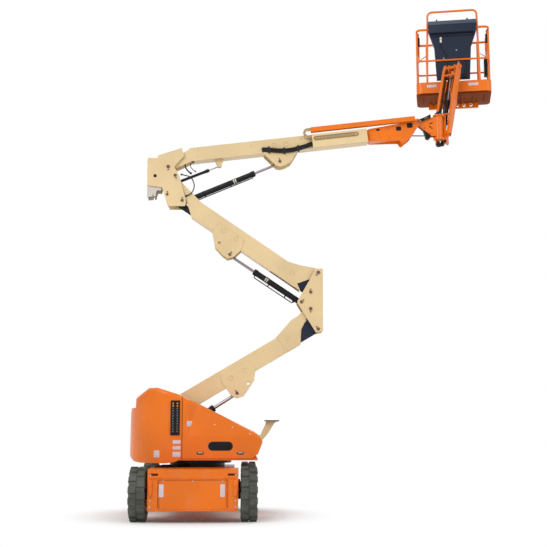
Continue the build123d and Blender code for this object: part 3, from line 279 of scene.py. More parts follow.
# A darker copy of the orange: painted shade on the bottom of the platform, with a little dust.
underside_painted_shade = gloss_paint("underside_painted_shade", (0.22, 0.046, 0.008), 0.6, dust=0.06, shine=0.1, coat=0.0)

# %% [markdown]
# ## Which part gets which finish
#
# Each part of the frame keeps its own shape and takes a finish by name. A name that starts with one of
# the words below gets the finish before it, and every other part is orange.

# %% Finishes by part
FINISHES = (
    (rubber, ("tyre",)), (cast_iron, ("counterweight",)), (slate, ("console",)),
    (grey_plastic, ("battery",)),
    (black_plastic, ("ground_controls", "document_box")),
    (black, ("tie_rod", "drive_axle", "steer_axle", "knuckle", "bearing_ring", "slew_skirt",
             "lower_level_link", "mid_level_link", "level_lever", "jib_level_link")),
    (cream, ("boom_rest", "lower_boom", "mid_boom", "knee", "upright", "main_boom", "hose_carrier")),
)


def finish_for(name):
    """Barrels are black and rods are chromed; the rest follow the words above."""
    if name.endswith("_barrel"):
        return black
    if name.endswith("_rod") and name != "tie_rod":
        return rod_chrome
    return next((finish for finish, starts in FINISHES if name.startswith(starts)), orange)


for name, part in nodes.items():
    part.data.materials.clear()
    part.data.materials.append(finish_for(name))
print(len(nodes), "parts dressed")

# %% [markdown]
# ## Making small parts from arrays
#
# Bolts, caps, hoses and blank plates are all the same kind of surface: a ring of points that is carried
# along something. A bolt head is a ring that grows and shrinks along its axis, a hose is a circle that
# follows a path, and a plate is a rounded rectangle that shrinks at its edge. So one function joins
# rings into a closed skin, and each maker only works out where its rings are.

# %% Rings into a skin
def skin(rings, hollow=False):
    """Rings (n, m, 3) to vertices and faces: neighbours are joined by quads, and both ends are capped.

    A hollow one has no caps: its last ring is joined to its first, so that the profile is a loop.
    """
    count, points = rings.shape[:2]
    i, j = np.meshgrid(np.arange(count if hollow else count - 1), np.arange(points), indexing="ij")
    k, after = (j + 1) % points, (i + 1) % count
    quads = np.stack([i * points + j, i * points + k, after * points + k, after * points + j], -1)
    caps = np.stack([np.arange(points)[::-1], (count - 1) * points + np.arange(points)])
    return rings.reshape(-1, 3), [quads.reshape(-1, 4)] + ([] if hollow else [caps])


def across_axis(axis):
    """Two unit vectors across an axis, so that they and the axis are right-handed."""
    axis = np.asarray(axis, float) / np.linalg.norm(axis)
    helper = np.array([0.0, 0.0, 1.0]) if abs(axis[2]) < 0.9 else np.array([1.0, 0.0, 0.0])
    across = np.cross(helper, axis)
    across /= np.linalg.norm(across)
    return across, np.cross(axis, across), axis


def turned(at, axis, profile, sides=24, hollow=False):
    """A profile of (radius, height) carried round an axis: at + r cos t u + r sin t v + h axis."""
    u, v, w = across_axis(axis)
    r, h = np.asarray(profile, float).T
    t = np.linspace(0, 2 * np.pi, sides, endpoint=False)
    ring = np.cos(t)[:, None] * u + np.sin(t)[:, None] * v
    return skin(np.asarray(at) + r[:, None, None] * ring + (h[:, None] * w)[:, None, :], hollow)


def hex_bolt(at, axis, size):
    """A washer and a hexagon head with a chamfered top; size is the radius of the head."""
    washer = turned(at, axis, [(1.25 * size, 0), (1.25 * size, 0.18 * size)], 16)
    head = [(size, 0.18 * size), (size, 0.75 * size), (0.86 * size, 0.88 * size)]
    return [washer, turned(at, axis, head, 6)]


# %% Tubes and soft-edged plates
def piped(path, radius, sides=12):
    """A circle carried along a path (n, 3), square to it: the tangent is the path's own gradient."""
    path = np.asarray(path, float)
    along = np.gradient(path, axis=0)
    along /= np.linalg.norm(along, axis=1)[:, None]
    helper = np.eye(3)[np.argmin(np.abs(along).max(0))]
    u = np.cross(helper, along)
    u /= np.linalg.norm(u, axis=1)[:, None]
    v = np.cross(along, u)
    t = np.linspace(0, 2 * np.pi, sides, endpoint=False)
    ring = np.cos(t)[None, :, None] * u[:, None] + np.sin(t)[None, :, None] * v[:, None]
    return skin(path[:, None] + radius * ring)


def bent(points, reach, steps):
    """A path through corners that are rounded by quadratic arcs which begin `reach` before each corner."""
    points = np.asarray(points, float)
    before, corner, after = points[:-2], points[1:-1], points[2:]
    inwards = (before - corner) / np.linalg.norm(before - corner, axis=1)[:, None] * reach
    outwards = (after - corner) / np.linalg.norm(after - corner, axis=1)[:, None] * reach
    s = np.linspace(0, 1, steps)[None, :, None]
    arcs = corner[:, None] + inwards[:, None] * (1 - s) ** 2 + outwards[:, None] * s ** 2
    return np.concatenate([points[:1], arcs.reshape(-1, 3), points[-1:]])


def soft_plate(centre, across, up, size, depth, corner, edge=0.002):
    """A rounded rectangle of size (width, height) that stands `depth` off a face, its rim rolled over.

    The outline is a rectangle plus four quarter circles; near the top each ring is drawn in by
    edge (1 - cos a) and raised by edge sin a.
    """
    u = np.asarray(across, float) / np.linalg.norm(across)
    v = np.asarray(up, float) / np.linalg.norm(up)
    corner = min(corner, size[0] / 2.001, size[1] / 2.001)
    t = np.radians([[5, 25, 45, 65, 85]]) + np.radians([[0], [90], [180], [270]])
    arc = np.stack([np.cos(t), np.sin(t)], -1)
    signs = np.array([[1, 1], [-1, 1], [-1, -1], [1, -1]])
    middles = (signs * (np.asarray(size) / 2 - corner))[:, None]
    a = np.radians([0, 30, 60, 90])
    drawn_in = np.minimum(np.concatenate([[0.0], edge * (1 - np.cos(a))]), 0.9 * corner)
    lift = np.concatenate([[0.0], depth - edge + edge * np.sin(a)])
    flat = (middles + (corner - drawn_in)[:, None, None, None] * arc).reshape(len(lift), -1, 2)
    out = np.cross(u, v)
    return skin(np.asarray(centre) + flat[..., :1] * u + flat[..., 1:] * v + lift[:, None, None] * out)


def facing(centre, size, depth, corner, edge=0.002):
    """A soft-edged plate that faces the near side, with its width along X."""
    return soft_plate(centre, RIGHT, UP, size, depth, corner, edge)


def cut_plates(outline, y_face, depth, chamfer=0.002):
    """A flat part with an outline in X and Z on both sides of a body: its top ring is drawn inwards."""
    outline = np.asarray(outline, float)
    middle = outline.mean(0)
    span = np.linalg.norm(outline - middle, axis=1).mean()
    shrink = np.array([1.0, 1.0, 1 - chamfer / span])
    lift = np.array([0.0, depth - chamfer, depth])
    flat = middle + shrink[:, None, None] * (outline - middle)
    area = np.cross(outline, np.roll(outline, -1, 0)).sum()
    plates = []
    for side in SIDES:
        y = np.broadcast_to(side * (y_face + lift)[:, None], flat.shape[:2])
        rings = np.stack([flat[..., 0], y, flat[..., 1]], -1)
        plates.append(skin(rings[:, ::-1] if area * side > 0 else rings))
    return plates


# %% Putting parts together on a body
SIDES = (-1, 1)                  # near, far
NEAR, FAR, UP, DOWN, RIGHT, LEFT = np.array([(0, -1, 0), (0, 1, 0), (0, 0, 1), (0, 0, -1), (1, 0, 0),
                                             (-1, 0, 0)], float)
CREASE = math.radians(35)        # an edge that bends more than this stays sharp


def make(name, parts, material, body):
    """Joins parts into one mesh, gives it its finish and fixes it to a body."""
    points, faces, start = [], [], 0
    for verts, groups in parts:
        points.append(verts)
        for group in groups:
            faces += (group + start).tolist()
        start += len(verts)
    mesh = bpy.data.meshes.new(name)
    mesh.from_pydata(np.concatenate(points).tolist(), [], faces)
    mesh.shade_smooth()
    mesh.set_sharp_from_angle(angle=CREASE)
    mesh.materials.append(material)
    piece = bpy.data.objects.new(name, mesh)
    bpy.context.scene.collection.objects.link(piece)
    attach(piece, body)
    print(f"{name}: {len(faces)} faces on {body}")

# %% [markdown]
# ## Places on a boom
#
# A boom lies at an angle, but its details are easy to place along it and across it. `Place` keeps a
# pivot, an azimuth and an elevation, and puts parts that were made along X into their position on the
# machine. The pivots come from the joints of the frame.

# %% Places
pivots = {joint["name"]: np.array(joint["pos_m"], float) for joint in frame["joints"] if "pos_m" in joint}


class Place:
    """An origin and three axes: X at an azimuth and an elevation, Y level, Z square to both."""

    def __init__(self, origin, azimuth=0.0, elevation=0.0):
        a, e = math.radians(azimuth), math.radians(elevation)
        level = np.array([math.cos(a), math.sin(a), 0.0])
        self.axes = np.stack([math.cos(e) * level + math.sin(e) * UP, np.cross(UP, level),
                              -math.sin(e) * level + math.cos(e) * UP])
        self.origin = np.asarray(origin, float)

    def put(self, parts):
        """Moves parts: origin + x X + y Y + z Z."""
        return [(verts @ self.axes + self.origin, groups) for verts, groups in parts]


def in_plane(point):
    """The point moved to the middle plane of the booms."""
    return np.array([point[0], 0.0, point[-1]])


JIB_AZIMUTH, JIB_RAISED, RAIL_AZIMUTH = 54.0, 69.5, -11.0
lower = Place(in_plane(pivots["lower_lift"]), 0, 30.5)
middle = Place(in_plane(pivots["mid_hinge"]), 0, -34.4)
main = Place(in_plane(pivots["main_lift"]), 0, 6.9)
jib = Place(pivots["jib_lift"], JIB_AZIMUTH, JIB_RAISED)
swing = in_plane(pivots["jib_swing"])
rotator = pivots["platform_rotate"]
jib_plane = Place((swing[0], 0, 0), JIB_AZIMUTH)
floor_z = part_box("platform_floor")[0][2]
basket = Place((rotator[0], rotator[1], floor_z), RAIL_AZIMUTH)
basket.origin = basket.origin + 0.150 * basket.axes[1]
print("main boom pivot", main.origin.round(3), "platform", basket.origin.round(3))

# %% The same part on both sides
BOLT = 0.009    # radius of the head of a common bolt


def both(maker, places, y, *rest):
    """The same part at (x, z) places, each on the near and on the far side."""
    return [part for x, z in places for side in SIDES for part in maker((x, side * y, z), side, *rest)]


def side_bolt(at, side, size=BOLT):
    """A bolt whose head stands out sideways."""
    return hex_bolt(at, side * FAR, size)

# %% [markdown]
# ## Pins and their keepers
#
# Each joint of the tower is a greased pin. A small keeper plate, bolted to the link beside it, stops the
# pin from turning or walking out. The cap of the pin is a turned disc with a chamfer and a grease nipple
# in its middle.

# %% Pin heads
def pin_head(at, side, radius):
    """A chamfered cap with a grease nipple in its middle."""
    out = side * FAR
    cap = [(radius, 0), (radius, 0.003), (radius - 0.004, 0.006), (0.5 * radius, 0.006),
           (0.4 * radius, 0.004)]
    nipple = [(0.006, 0.004), (0.006, 0.008), (0.003, 0.010), (0.003, 0.013)]
    return [turned(at, out, cap, 28), turned(at, out, nipple, 12)]


def keeper(at, side, radius, towards, proud):
    """The keeper plate beside a pin, on the link's face, and the bolt that holds it."""
    out = side * FAR
    way = np.array([towards[0], 0.0, towards[1]]) / math.hypot(*towards)
    middle = np.asarray(at, float) + way * (radius + 0.014) - out * proud
    across = np.cross(way, out)
    plate = soft_plate(middle, across, np.cross(out, across), (0.040, 0.034), 0.005, 0.008)
    return plate, hex_bolt(middle + 0.004 * way + 0.005 * out, out, BOLT)


def pinned(body, face, pins, place=None):
    """Pin heads and keepers on both faces of a body, at y.

    A pin is a joint's name or a point, its radius, the way from it to its keeper and how far it stands
    proud of the face.
    """
    heads, plates = [], []
    for at, radius, towards, proud in pins:
        at = pivots[at] if isinstance(at, str) else at
        for side in SIDES:
            middle = (at[0], side * (face + proud), at[-1])
            plate, bolt = keeper(middle, side, radius, towards, proud)
            heads += pin_head(middle, side, radius) + bolt
            plates.append(plate)
    if place:
        heads, plates = place.put(heads), place.put(plates)
    # The pin caps take the darker zinc of painted shade.
    make(f"{body}_pin_heads", heads, zinc_in_painted_shade, body)
    make(f"{body}_keepers", plates, cream, body)


# How far the outer faces stand from the middle plane: knee and upright, tower booms and their lugs,
# main boom and its lug
KNEE_FACE, BOX_FACE, LUG_FACE, MAIN_FACE, MAIN_LUG = 0.145, 0.100, 0.112, 0.105, 0.119
link_down = in_plane(pivots["knee_hinge"]) + (0.112, 0, -0.303)
pinned("knee", KNEE_FACE, [
    ("knee_hinge", 0.026, (0, -1), 0.008),
    ("mid_hinge", 0.026, (-0.6, -0.8), 0.008),
    ("mid_link_hinge", 0.024, (0, 1), 0.008),
    (link_down, 0.024, (-0.6, 0.8), 0.008),
    ("mid_lift_barrel_hinge", 0.024, (0.7, 0.7), 0.008),
])
pinned("upright", KNEE_FACE, [
    ("main_lift", 0.028, (0, -1), 0.008),
    ("upright_hinge", 0.024, (0.3, -1), 0.008),
    ("main_lift_barrel_hinge", 0.024, (0, 1), 0.008),
    (pivots["upright_hinge"] + (-0.116, 0, -0.297), 0.020, (0, 1), 0.006),
])

# %% Pins of the lift cylinders' rods, on the lugs
for body, place, at, face in (("lower_boom", lower, (1.048, -0.526), LUG_FACE),
                              ("mid_boom", middle, (-1.257, -0.527), LUG_FACE),
                              ("main_boom", main, (1.705, -0.1035), MAIN_LUG)):
    pinned(body, face, [(at, 0.023, (0, 1), 0.008)], place)

# %% [markdown]
# ## Guard plates at the knee
#
# Where a level link meets the knee, a dark plate on the link closes the gap beside the boom's end, so
# that no hand can get in. It is a sheet with a rounded outline, welded outside the link's two bars.

# %% Guard plates on the level links
GUARD_FACE, GUARD_SHEET = 0.0785, 0.004
lower_guard = [(-0.325, -0.033), (0, -0.035), (0.030, 0), (0, 0.100), (-0.070, 0.204), (-0.167, 0.176),
               (-0.230, 0.145), (-0.279, 0.108), (-0.310, 0.060), (-0.325, 0.002)]
mid_guard = [(0.254, 0.045), (0.100, 0.047), (-0.030, 0.030), (-0.030, -0.050), (0.020, -0.150),
             (0.132, -0.163), (0.165, -0.142), (0.190, -0.110), (0.220, -0.080), (0.2415, -0.039)]
link_up = in_plane(pivots["mid_link_hinge"])
for name, foot, elevation, outline in (("lower_level_link", link_down, 30.5, lower_guard),
                                       ("mid_level_link", link_up, 145.6, mid_guard)):
    plates = cut_plates(outline, GUARD_FACE, GUARD_SHEET)
    make(f"{name}_guards", Place(foot, 0, elevation).put(plates), slate, name)

# %% [markdown]
# ## Welds
#
# The side plates of the booms are welded boxes. Thick lugs are laid on them and welded round their
# edges, and plug welds fill round holes in the middle of a lug. A plug weld leaves a low ring. A bead
# is a thin tube half sunk in the corner between the two plates.

# %% Weld beads and plug welds
PLUG = [(0.040, 0), (0.038, 0.004), (0.034, 0.006), (0.029, 0.004), (0.026, 0.0008)]


def plug_weld(at, side):
    return [turned(at, side * FAR, PLUG, 28)]


def bead(outline, y, radius=0.0045, reach=0.012):
    """A weld bead along an outline of (x, z) points on both sides of a boom."""
    paths = [np.insert(np.asarray(outline, float), 1, side * y, axis=1) for side in SIDES]
    return [piped(bent(path, reach, 5), radius, 8) for path in paths]


LOWER_LUG = [(1.000, -0.378), (0.934, -0.268), (0.962, -0.200), (1.454, -0.222), (1.490, -0.328),
             (1.447, -0.378)]
MID_LUG = [(-1.668, -0.378), (-1.668, -0.228), (-1.210, -0.214), (-1.155, -0.378)]
MAIN_LUG_EDGE = [(1.475, 0.060), (1.475, 0.085), (2.000, 0.085), (2.000, 0.060)]
welds = both(plug_weld, [(1.085, -0.285), (1.321, -0.290)], LUG_FACE)
welds += both(plug_weld, [(2.090, -0.170)], BOX_FACE) + bead(LOWER_LUG, BOX_FACE)
make("lower_boom_welds", lower.put(welds), cream, "lower_boom")
welds = both(plug_weld, [(-1.545, -0.278), (-1.315, -0.272)], LUG_FACE)
welds += both(plug_weld, [(-0.326, -0.212)], BOX_FACE) + bead(MID_LUG, BOX_FACE)
make("mid_boom_welds", middle.put(welds), cream, "mid_boom")
welds = both(plug_weld, [(1.652, 0.165), (1.835, 0.165)], MAIN_FACE) + bead(MAIN_LUG_EDGE, MAIN_FACE)
make("main_boom_welds", main.put(welds), cream, "main_boom")

# %% Doubler plates near the end of the lower boom
DOUBLER = 0.005    # thickness of the sheet
doubler = [(1.985, -0.108), (2.285, 0.004), (2.395, 0.006), (2.585, 0.030), (2.600, -0.030), (2.340, -0.190),
           (2.235, -0.372), (1.985, -0.372)]
parts = cut_plates(doubler, BOX_FACE, DOUBLER) + both(plug_weld, [(2.115, -0.200)], BOX_FACE + DOUBLER)
make("lower_boom_doublers", lower.put(parts), cream, "lower_boom")

# %% [markdown]
# ## Hook bracket and wear-pad bolts
#
# The upright carries a pair of hooked plates under its rear corner, used to lash the boom for transport.
# Bolts on the base boom hold the plastic pads that the fly section slides on.

# %% Lashing hook under the upright
hook = [(-0.803, 4.915), (-0.585, 4.890), (-0.590, 4.838), (-0.650, 4.842), (-0.668, 4.806), (-0.672, 4.752),
        (-0.700, 4.744), (-0.716, 4.792), (-0.726, 4.740), (-0.803, 4.733)]
parts = cut_plates(hook, 0.114, 0.010)
parts.append(soft_plate((-0.792, 0, 4.822), NEAR, UP, (0.232, 0.165), 0.010, 0.004))
# The hook takes the greyer copy of the cream: painted shade and reflection.
make("upright_lashing_hook", parts, cream_painted_shade_and_reflection, "upright")

# %% Bolts on the upright and the base boom
def bore_shade_disc(at, side):
    """A flat black disc in the bore of a pin: painted shade where the bore shows dark."""
    return [turned(at, side * FAR, [(0.026, 0), (0.026, 0.0015), (0.022, 0.002)], 28)]


bolts = both(side_bolt, [(-0.352, 5.044), (-0.351, 5.000), (-0.300, 4.722)], KNEE_FACE)
make("upright_bolts", bolts, zinc, "upright")
make("upright_bore_shade", both(bore_shade_disc, [(-0.685, 5.061)], KNEE_FACE), black_plastic, "upright")
bolts = both(side_bolt, [(0.481, 0.237), (0.472, 0.120), (1.296, 0.205), (2.070, 0.215), (3.030, 0.085),
                         (3.070, 0.225)], MAIN_FACE)
make("main_boom_bolts", main.put(bolts), zinc, "main_boom")

# %% [markdown]
# ## Cylinders: glands, pipes and straps
#
# The barrel of a lift cylinder ends in a gland ring, and a steel pipe runs along it from a port block at
# the foot to the gland, in two clips. Two plated straps go round the barrel. The three lift cylinders
# get the same parts, made along X from the foot pin and put in place by one line each.

# %% Cylinder fittings
def hoop(x, outer, chamfer, width, grip):
    """A ring round a barrel from x on: 6 mm proud, chamfered by (drawn in, along), biting in by `grip`."""
    drawn_in, along = chamfer
    rim, bore = outer + 0.006, outer - grip
    profile = [(rim - drawn_in, 0), (rim, along), (rim, width - along), (rim - drawn_in, width),
               (bore, width), (bore, 0)]
    return turned((x, 0, 0), RIGHT, profile, 32, hollow=True)


def cylinder_fittings(length, outer, gap, below):
    """Gland ring, port block and a clipped pipe beside a barrel that lies along X."""
    way = -1 if below else 1
    port, gland = 0.11, length - 0.05
    y, wall, z = -0.3 * outer, way * outer, way * (outer + gap)
    run = [(port, y, wall * 0.9), (port, y, z), (gland, y, z), (gland, y, wall * 0.9)]
    parts = [hoop(gland, outer, (0.003, 0.003), 0.021, 0.004), piped(bent(run, 0.018, 5), 0.008, 10),
             soft_plate((port, y, wall * 0.88), RIGHT, FAR * way, (0.036, 0.030), 0.014 + 0.12 * outer,
                        0.004)]
    clip = [(outer + 0.003, -0.008), (outer + 0.003, 0.008), (outer - 0.002, 0.008), (outer - 0.002, -0.008)]
    for x in (0.3 * length, 0.65 * length):
        parts += [turned((x, 0, 0), RIGHT, clip, 28, hollow=True),
                  soft_plate((x, y, wall * 0.93), RIGHT, FAR * way, (0.018, 0.026), gap + 0.009, 0.003)]
    return parts


CYLINDERS = (  # barrel, elevation, length of the barrel, its outer radius, gap to the pipe, pipe below
    ("lower_lift_barrel", 32.34, 0.800, 0.048, 0.016, True),
    ("mid_lift_barrel", 146.26, 0.860, 0.044, 0.034, False),
    ("main_lift_barrel", 22.89, 1.196, 0.042, 0.016, True),
)
for body, elevation, length, outer, gap, below in CYLINDERS:
    place = Place(in_plane(pivots[f"{body}_hinge"]), 0, elevation)
    make(f"{body}_fittings", place.put(cylinder_fittings(length, outer, gap, below)), black, body)
    parts = [hoop(0.70 * length + step, outer, (0.001, 0.002), 0.018, 0.002) for step in (0, 0.030)]
    make(f"{body}_straps", place.put(parts), zinc, body)

# %% [markdown]
# ## Hoses that are clamped to one part
#
# Between the upright and the base boom short hoses feed the levelling cylinder. Each is fixed at both
# ends to the same part, so it is a formed line that moves with it: a round tube along a smooth curve,
# with a crimped sleeve at each end.

# %% Formed hoses
def formed_hose(points, radius=0.009, reach=0.03):
    """A tube along rounded corners with a crimped sleeve at both ends."""
    path = bent(points, reach, 9)
    sleeve = [(radius * 1.1, 0), (radius * 1.6, 0.004), (radius * 1.6, 0.026), (radius * 1.2, 0.030)]
    return [piped(path, radius, 14), turned(path[0], path[1] - path[0], sleeve, 14),
            turned(path[-1], path[-2] - path[-1], sleeve, 14)]


hoses = formed_hose([(0.390, -0.085, 0.060), (0.270, -0.085, 0.085), (0.250, -0.085, -0.020),
                     (0.300, -0.062, -0.100), (0.340, -0.044, -0.125)], 0.011, 0.05)
hoses += formed_hose([(0.400, -0.070, 0.050), (0.330, -0.070, 0.020), (0.345, -0.060, -0.045),
                      (0.410, -0.044, -0.105)], 0.006, 0.03)
make("main_boom_foot_hoses", main.put(hoses), hose_sheath, "main_boom")
path = [(-0.300, 5.095), (-0.150, 5.060), (-0.098, 4.985), (-0.085, 4.890), (-0.130, 4.790), (-0.230, 4.750)]
hose = formed_hose(np.insert(path, 1, -0.1125, axis=1), 0.0085, 0.05)
make("upright_hoses", hose, hose_sheath, "upright")

# %% Hose run on the base boom, from its side wall up to the hose chain
sag = np.array([(1.455, 0.112), (1.530, 0.100), (1.730, 0.058), (1.900, 0.050), (2.080, 0.075),
                (2.250, 0.120), (2.420, 0.150), (2.520, 0.205)])
parts = []
for drop, y in ((0.0, -0.135), (0.026, -0.137), (-0.024, -0.135)):
    path = np.insert(sag - (0, drop), 1, y, axis=1)
    path[0, 1] = -0.108
    parts.append(piped(bent(path, 0.06, 6), 0.012))
parts += [facing((x, -0.119, z), (0.030, 0.100), 0.032, 0.006)
          for x, z in ((1.560, 0.092), (1.790, 0.052), (2.010, 0.062))]
make("main_boom_hose_run", main.put(parts), hose_sheath, "main_boom")

# %% [markdown]
# ## The hose chain
#
# The hoses to the platform lie in a chain of plastic links that rolls over as the fly section slides out.
# Each link is a soft-edged plate with a round boss at its joint. They are repeated along the two straight
# runs and round the half circle between them.

# %% Links of the hose chain
PITCH, LOOP_X, LOOP_Z, LOOP_RADIUS = 0.048, 2.185, 0.283, 0.056
BOSS = [(0.007, 0), (0.007, 0.0035), (0.005, 0.0042)]
arc = math.pi * LOOP_RADIUS
top_run, bottom_run = 2.845 - LOOP_X, 2.515 - LOOP_X
links, bosses = [], []
for s in np.arange(0.02, top_run + arc + bottom_run, PITCH):
    if s < top_run:
        x, z, angle = LOOP_X + top_run - s, LOOP_Z + LOOP_RADIUS, 0.0
    elif s < top_run + arc:
        angle = (s - top_run) / LOOP_RADIUS
        x, z = LOOP_X - LOOP_RADIUS * math.sin(angle), LOOP_Z + LOOP_RADIUS * math.cos(angle)
    else:
        x, z, angle = LOOP_X + s - top_run - arc, LOOP_Z - LOOP_RADIUS, math.pi
    way = np.array([math.cos(angle), 0, math.sin(angle)])
    over = np.array([-math.sin(angle), 0, math.cos(angle)])
    for y, face in ((-0.168, way), (-0.118, -way)):
        links.append(soft_plate((x, y, z), face, over, (0.042, 0.034), 0.003, 0.010, 0.0015))
        bosses.append(turned((x, y, z) + way * 0.016, np.cross(face, over), BOSS, 12))
make("hose_chain_links", main.put(links), chain_plastic, "hose_carrier")
make("hose_chain_bosses", main.put(bosses), grey_plastic, "hose_carrier")

# %% The slot in the tray, with the fixed end of the chain in it
TRAY_FACE, SLOT_X, SLOT_Z = -0.178, 2.610, 0.182
slot = facing((SLOT_X, TRAY_FACE, SLOT_Z), (0.700, 0.070), 0.0012, 0.034, 0.0006)
make("tray_slot", main.put([slot]), shadow_cream, "main_boom")
links = [facing((x, TRAY_FACE - 0.001, SLOT_Z), (0.040, 0.036), 0.004, 0.010, 0.0015)
         for x in np.arange(2.300, 2.900, 0.046)]
links.append(facing((2.918, TRAY_FACE - 0.001, SLOT_Z), (0.050, 0.050), 0.008, 0.008, 0.003))
make("tray_chain_links", main.put(links), chain_plastic, "main_boom")
a = np.radians(np.linspace(0, 360, 41))
track = np.stack([SLOT_X + 0.316 * np.sign(np.cos(a).round(9)) + 0.038 * np.cos(a), np.full(41, TRAY_FACE),
                  SLOT_Z + 0.038 * np.sin(a)], -1)
make("tray_slot_rim", main.put([piped(track, 0.003, 8)]), cream, "main_boom")

# %% [markdown]
# ## The nose of the fly section
#
# The flared plates at the end of the fly section have a square opening with a rubber cover, a latch below
# it, and bolts along the edge. Dark openings are thin black sheets of painted shade that stand a few
# millimetres off the plate, and a big pin crosses the tip.

# %% Fly section details
NOSE_FACE = 0.102
opening = (0.078, 0.066), 0.003, 0.012, 0.0015
parts = [facing((3.598, -NOSE_FACE, 0.213), *opening),
         soft_plate((3.598, NOSE_FACE, 0.213), LEFT, UP, *opening),
         facing((3.275, -NOSE_FACE, 0.229), (0.055, 0.030), 0.006, 0.010, 0.002),
         # painted shade: a thin black sheet where an opening shows dark
         facing((3.777, -NOSE_FACE, 0.245), (0.090, 0.078), 0.0018, 0.020, 0.001)]
make("fly_covers_and_painted_shade", main.put(parts), black_plastic, "fly_section")
bolts = both(side_bolt, [(3.285, 0.162), (3.297, 0.107), (3.180, 0.235), (3.180, 0.090), (3.450, 0.090),
                         (3.450, 0.225)], NOSE_FACE)
make("fly_bolts", main.put(bolts), orange, "fly_section")
# The nose pin takes the darker zinc of painted shade.
make("fly_pin_heads", main.put(both(pin_head, [(3.925, 0.291)], 0.110, 0.022)), zinc_in_painted_shade, "fly_section")
rim = [(3.140, 0.068), (3.585, 0.030), (3.620, -0.036), (3.752, 0.048), (3.922, 0.252)]
make("fly_nose_flange", main.put(bead(rim, NOSE_FACE, 0.006, 0.01)), orange, "fly_section")

# %% [markdown]
# ## The swing head
#
# Oil and signals cross the swing post through a rotary union on its top, fed by a bundle of hoses, and
# a small gear motor below turns the jib. The union is a turned stack with fittings round it.

# %% Rotary union and gear motor
low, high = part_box("jib_base")
low, top = low[2], high[2]
union = [(0.048, 0), (0.048, 0.012), (0.038, 0.016), (0.038, 0.040), (0.030, 0.046), (0.030, 0.056),
         (0.014, 0.060)]
fitting = [(0.009, 0), (0.009, 0.016), (0.006, 0.020)]
parts = [turned((swing[0], 0, top), UP, union, 32)]
for angle in np.radians(range(0, 360, 60)):
    way = np.array([math.cos(angle), math.sin(angle), 0])
    parts.append(turned(np.array([swing[0], 0, top + 0.028]) + way * 0.034, way, fitting, 6))
make("swing_union", parts, black_plastic, "jib_base")
motor = [(0.046, 0), (0.046, 0.010), (0.038, 0.014), (0.038, 0.036), (0.030, 0.042), (0.012, 0.044)]
side_port = [(0.016, 0), (0.020, 0.004), (0.020, 0.030), (0.014, 0.036), (0.008, 0.038)]
parts = [turned((swing[0], 0, low + 0.0005), DOWN, motor, 32),
         turned((swing[0] + 0.078, -0.030, low + 0.040), (1, -0.4, 0), side_port, 20),
         turned((swing[0] + 0.036, -0.012, low - 0.022), (1, -0.4, 0), side_port, 20)]
make("swing_motor", parts, black, "jib_base")

# %% Bolts, openings and hoses of the swing head
HEAD_FACE = 0.050
bolts = both(side_bolt, [(3.440, 6.000), (3.560, 6.030), (3.560, 5.790), (3.470, 5.880)], HEAD_FACE)
# These bolts take the darker zinc of painted shade.
make("level_head_bolts", bolts, zinc_in_painted_shade, "level_head")
window_above = [(3.545, 5.950), (3.600, 5.972), (3.604, 5.958), (3.570, 5.940)]
window_below = [(3.540, 5.925), (3.602, 5.872), (3.600, 5.858), (3.548, 5.895)]
parts = [plate for window in (window_above, window_below)
         for plate in cut_plates(window, HEAD_FACE - 0.0001, 0.0012, 0.0005)]
make("level_head_windows", parts, shadow_gap, "level_head")
hoses = formed_hose([(3.345, -0.060, 6.000), (3.430, -0.072, 6.012), (3.500, -0.074, 6.045),
                     (3.565, -0.066, 6.075)], 0.013)
hoses += formed_hose([(3.355, -0.068, 5.976), (3.440, -0.076, 5.988), (3.505, -0.078, 6.018),
                      (3.560, -0.070, 6.048)], 0.010)
make("level_head_hoses", hoses, hose_sheath, "level_head")
crossing = [(3.645, -0.030, top + 0.008), (3.690, -0.056, top + 0.022), (3.745, -0.050, top + 0.010)]
make("jib_base_hoses", formed_hose(crossing, 0.011), hose_sheath, "jib_base")

# %% [markdown]
# ## The jib
#
# The jib is a pair of side beams with cross tubes between them. Collars close the ends of the top tube,
# and hoses in clips run up the inside of the beams to the platform.

# %% Jib details
JIB_FACE, JIB_INSIDE, JIB_LENGTH = 0.135, 0.095, 1.340
collar = [(0.036, 0), (0.036, 0.010), (0.030, 0.015), (0.014, 0.015), (0.012, 0.010)]
parts = [turned((JIB_LENGTH, side * JIB_FACE, 0), side * FAR, collar, 32) for side in SIDES]
seam = [(-0.030, -0.020), (0.010, -0.044), (0.300, -0.052), (1.235, -0.052), (1.372, -0.030)]
parts += bead(seam, JIB_FACE, 0.004)
make("jib_collars", jib.put(parts), orange, "jib")
# The jib's foot pins take the darker zinc of painted shade.
make("jib_foot_pins", jib.put(both(pin_head, [(0, 0)], 0.141, 0.024)), zinc_in_painted_shade, "jib_base")
parts = []
for y, z, radius in ((-0.082, 0.020, 0.010), (0.082, 0.020, 0.010), (-0.084, -0.005, 0.007)):
    path = [(0.170, y, z + 0.012), (0.230, y, z), (1.180, y, z), (1.260, y, z + 0.012)]
    parts.append(piped(bent(path, 0.03, 5), radius))
parts += [soft_plate((x, side * JIB_INSIDE, 0.012), side * RIGHT, UP, (0.022, 0.056), 0.020, 0.004)
          for x in np.arange(0.25, 1.2, 0.22) for side in SIDES]
make("jib_hoses", jib.put(parts), hose_sheath, "jib")
bolts = both(side_bolt, [(0.130, 5.870)], 0.090, 0.010)
make("jib_base_bolts", jib_plane.put(bolts), zinc, "jib_base")

# %% [markdown]
# ## Things that sit on a cover
#
# The covers are moulded and lean inwards, so a plate on one must follow it. `on_cover` looks level
# from the side at a cover, finds where that line meets it, and gives the point and the direction that
# the cover faces there.

# %% Finding a place on a cover
SUNK = 0.0004    # how far the foot of a plate lies inside the cover


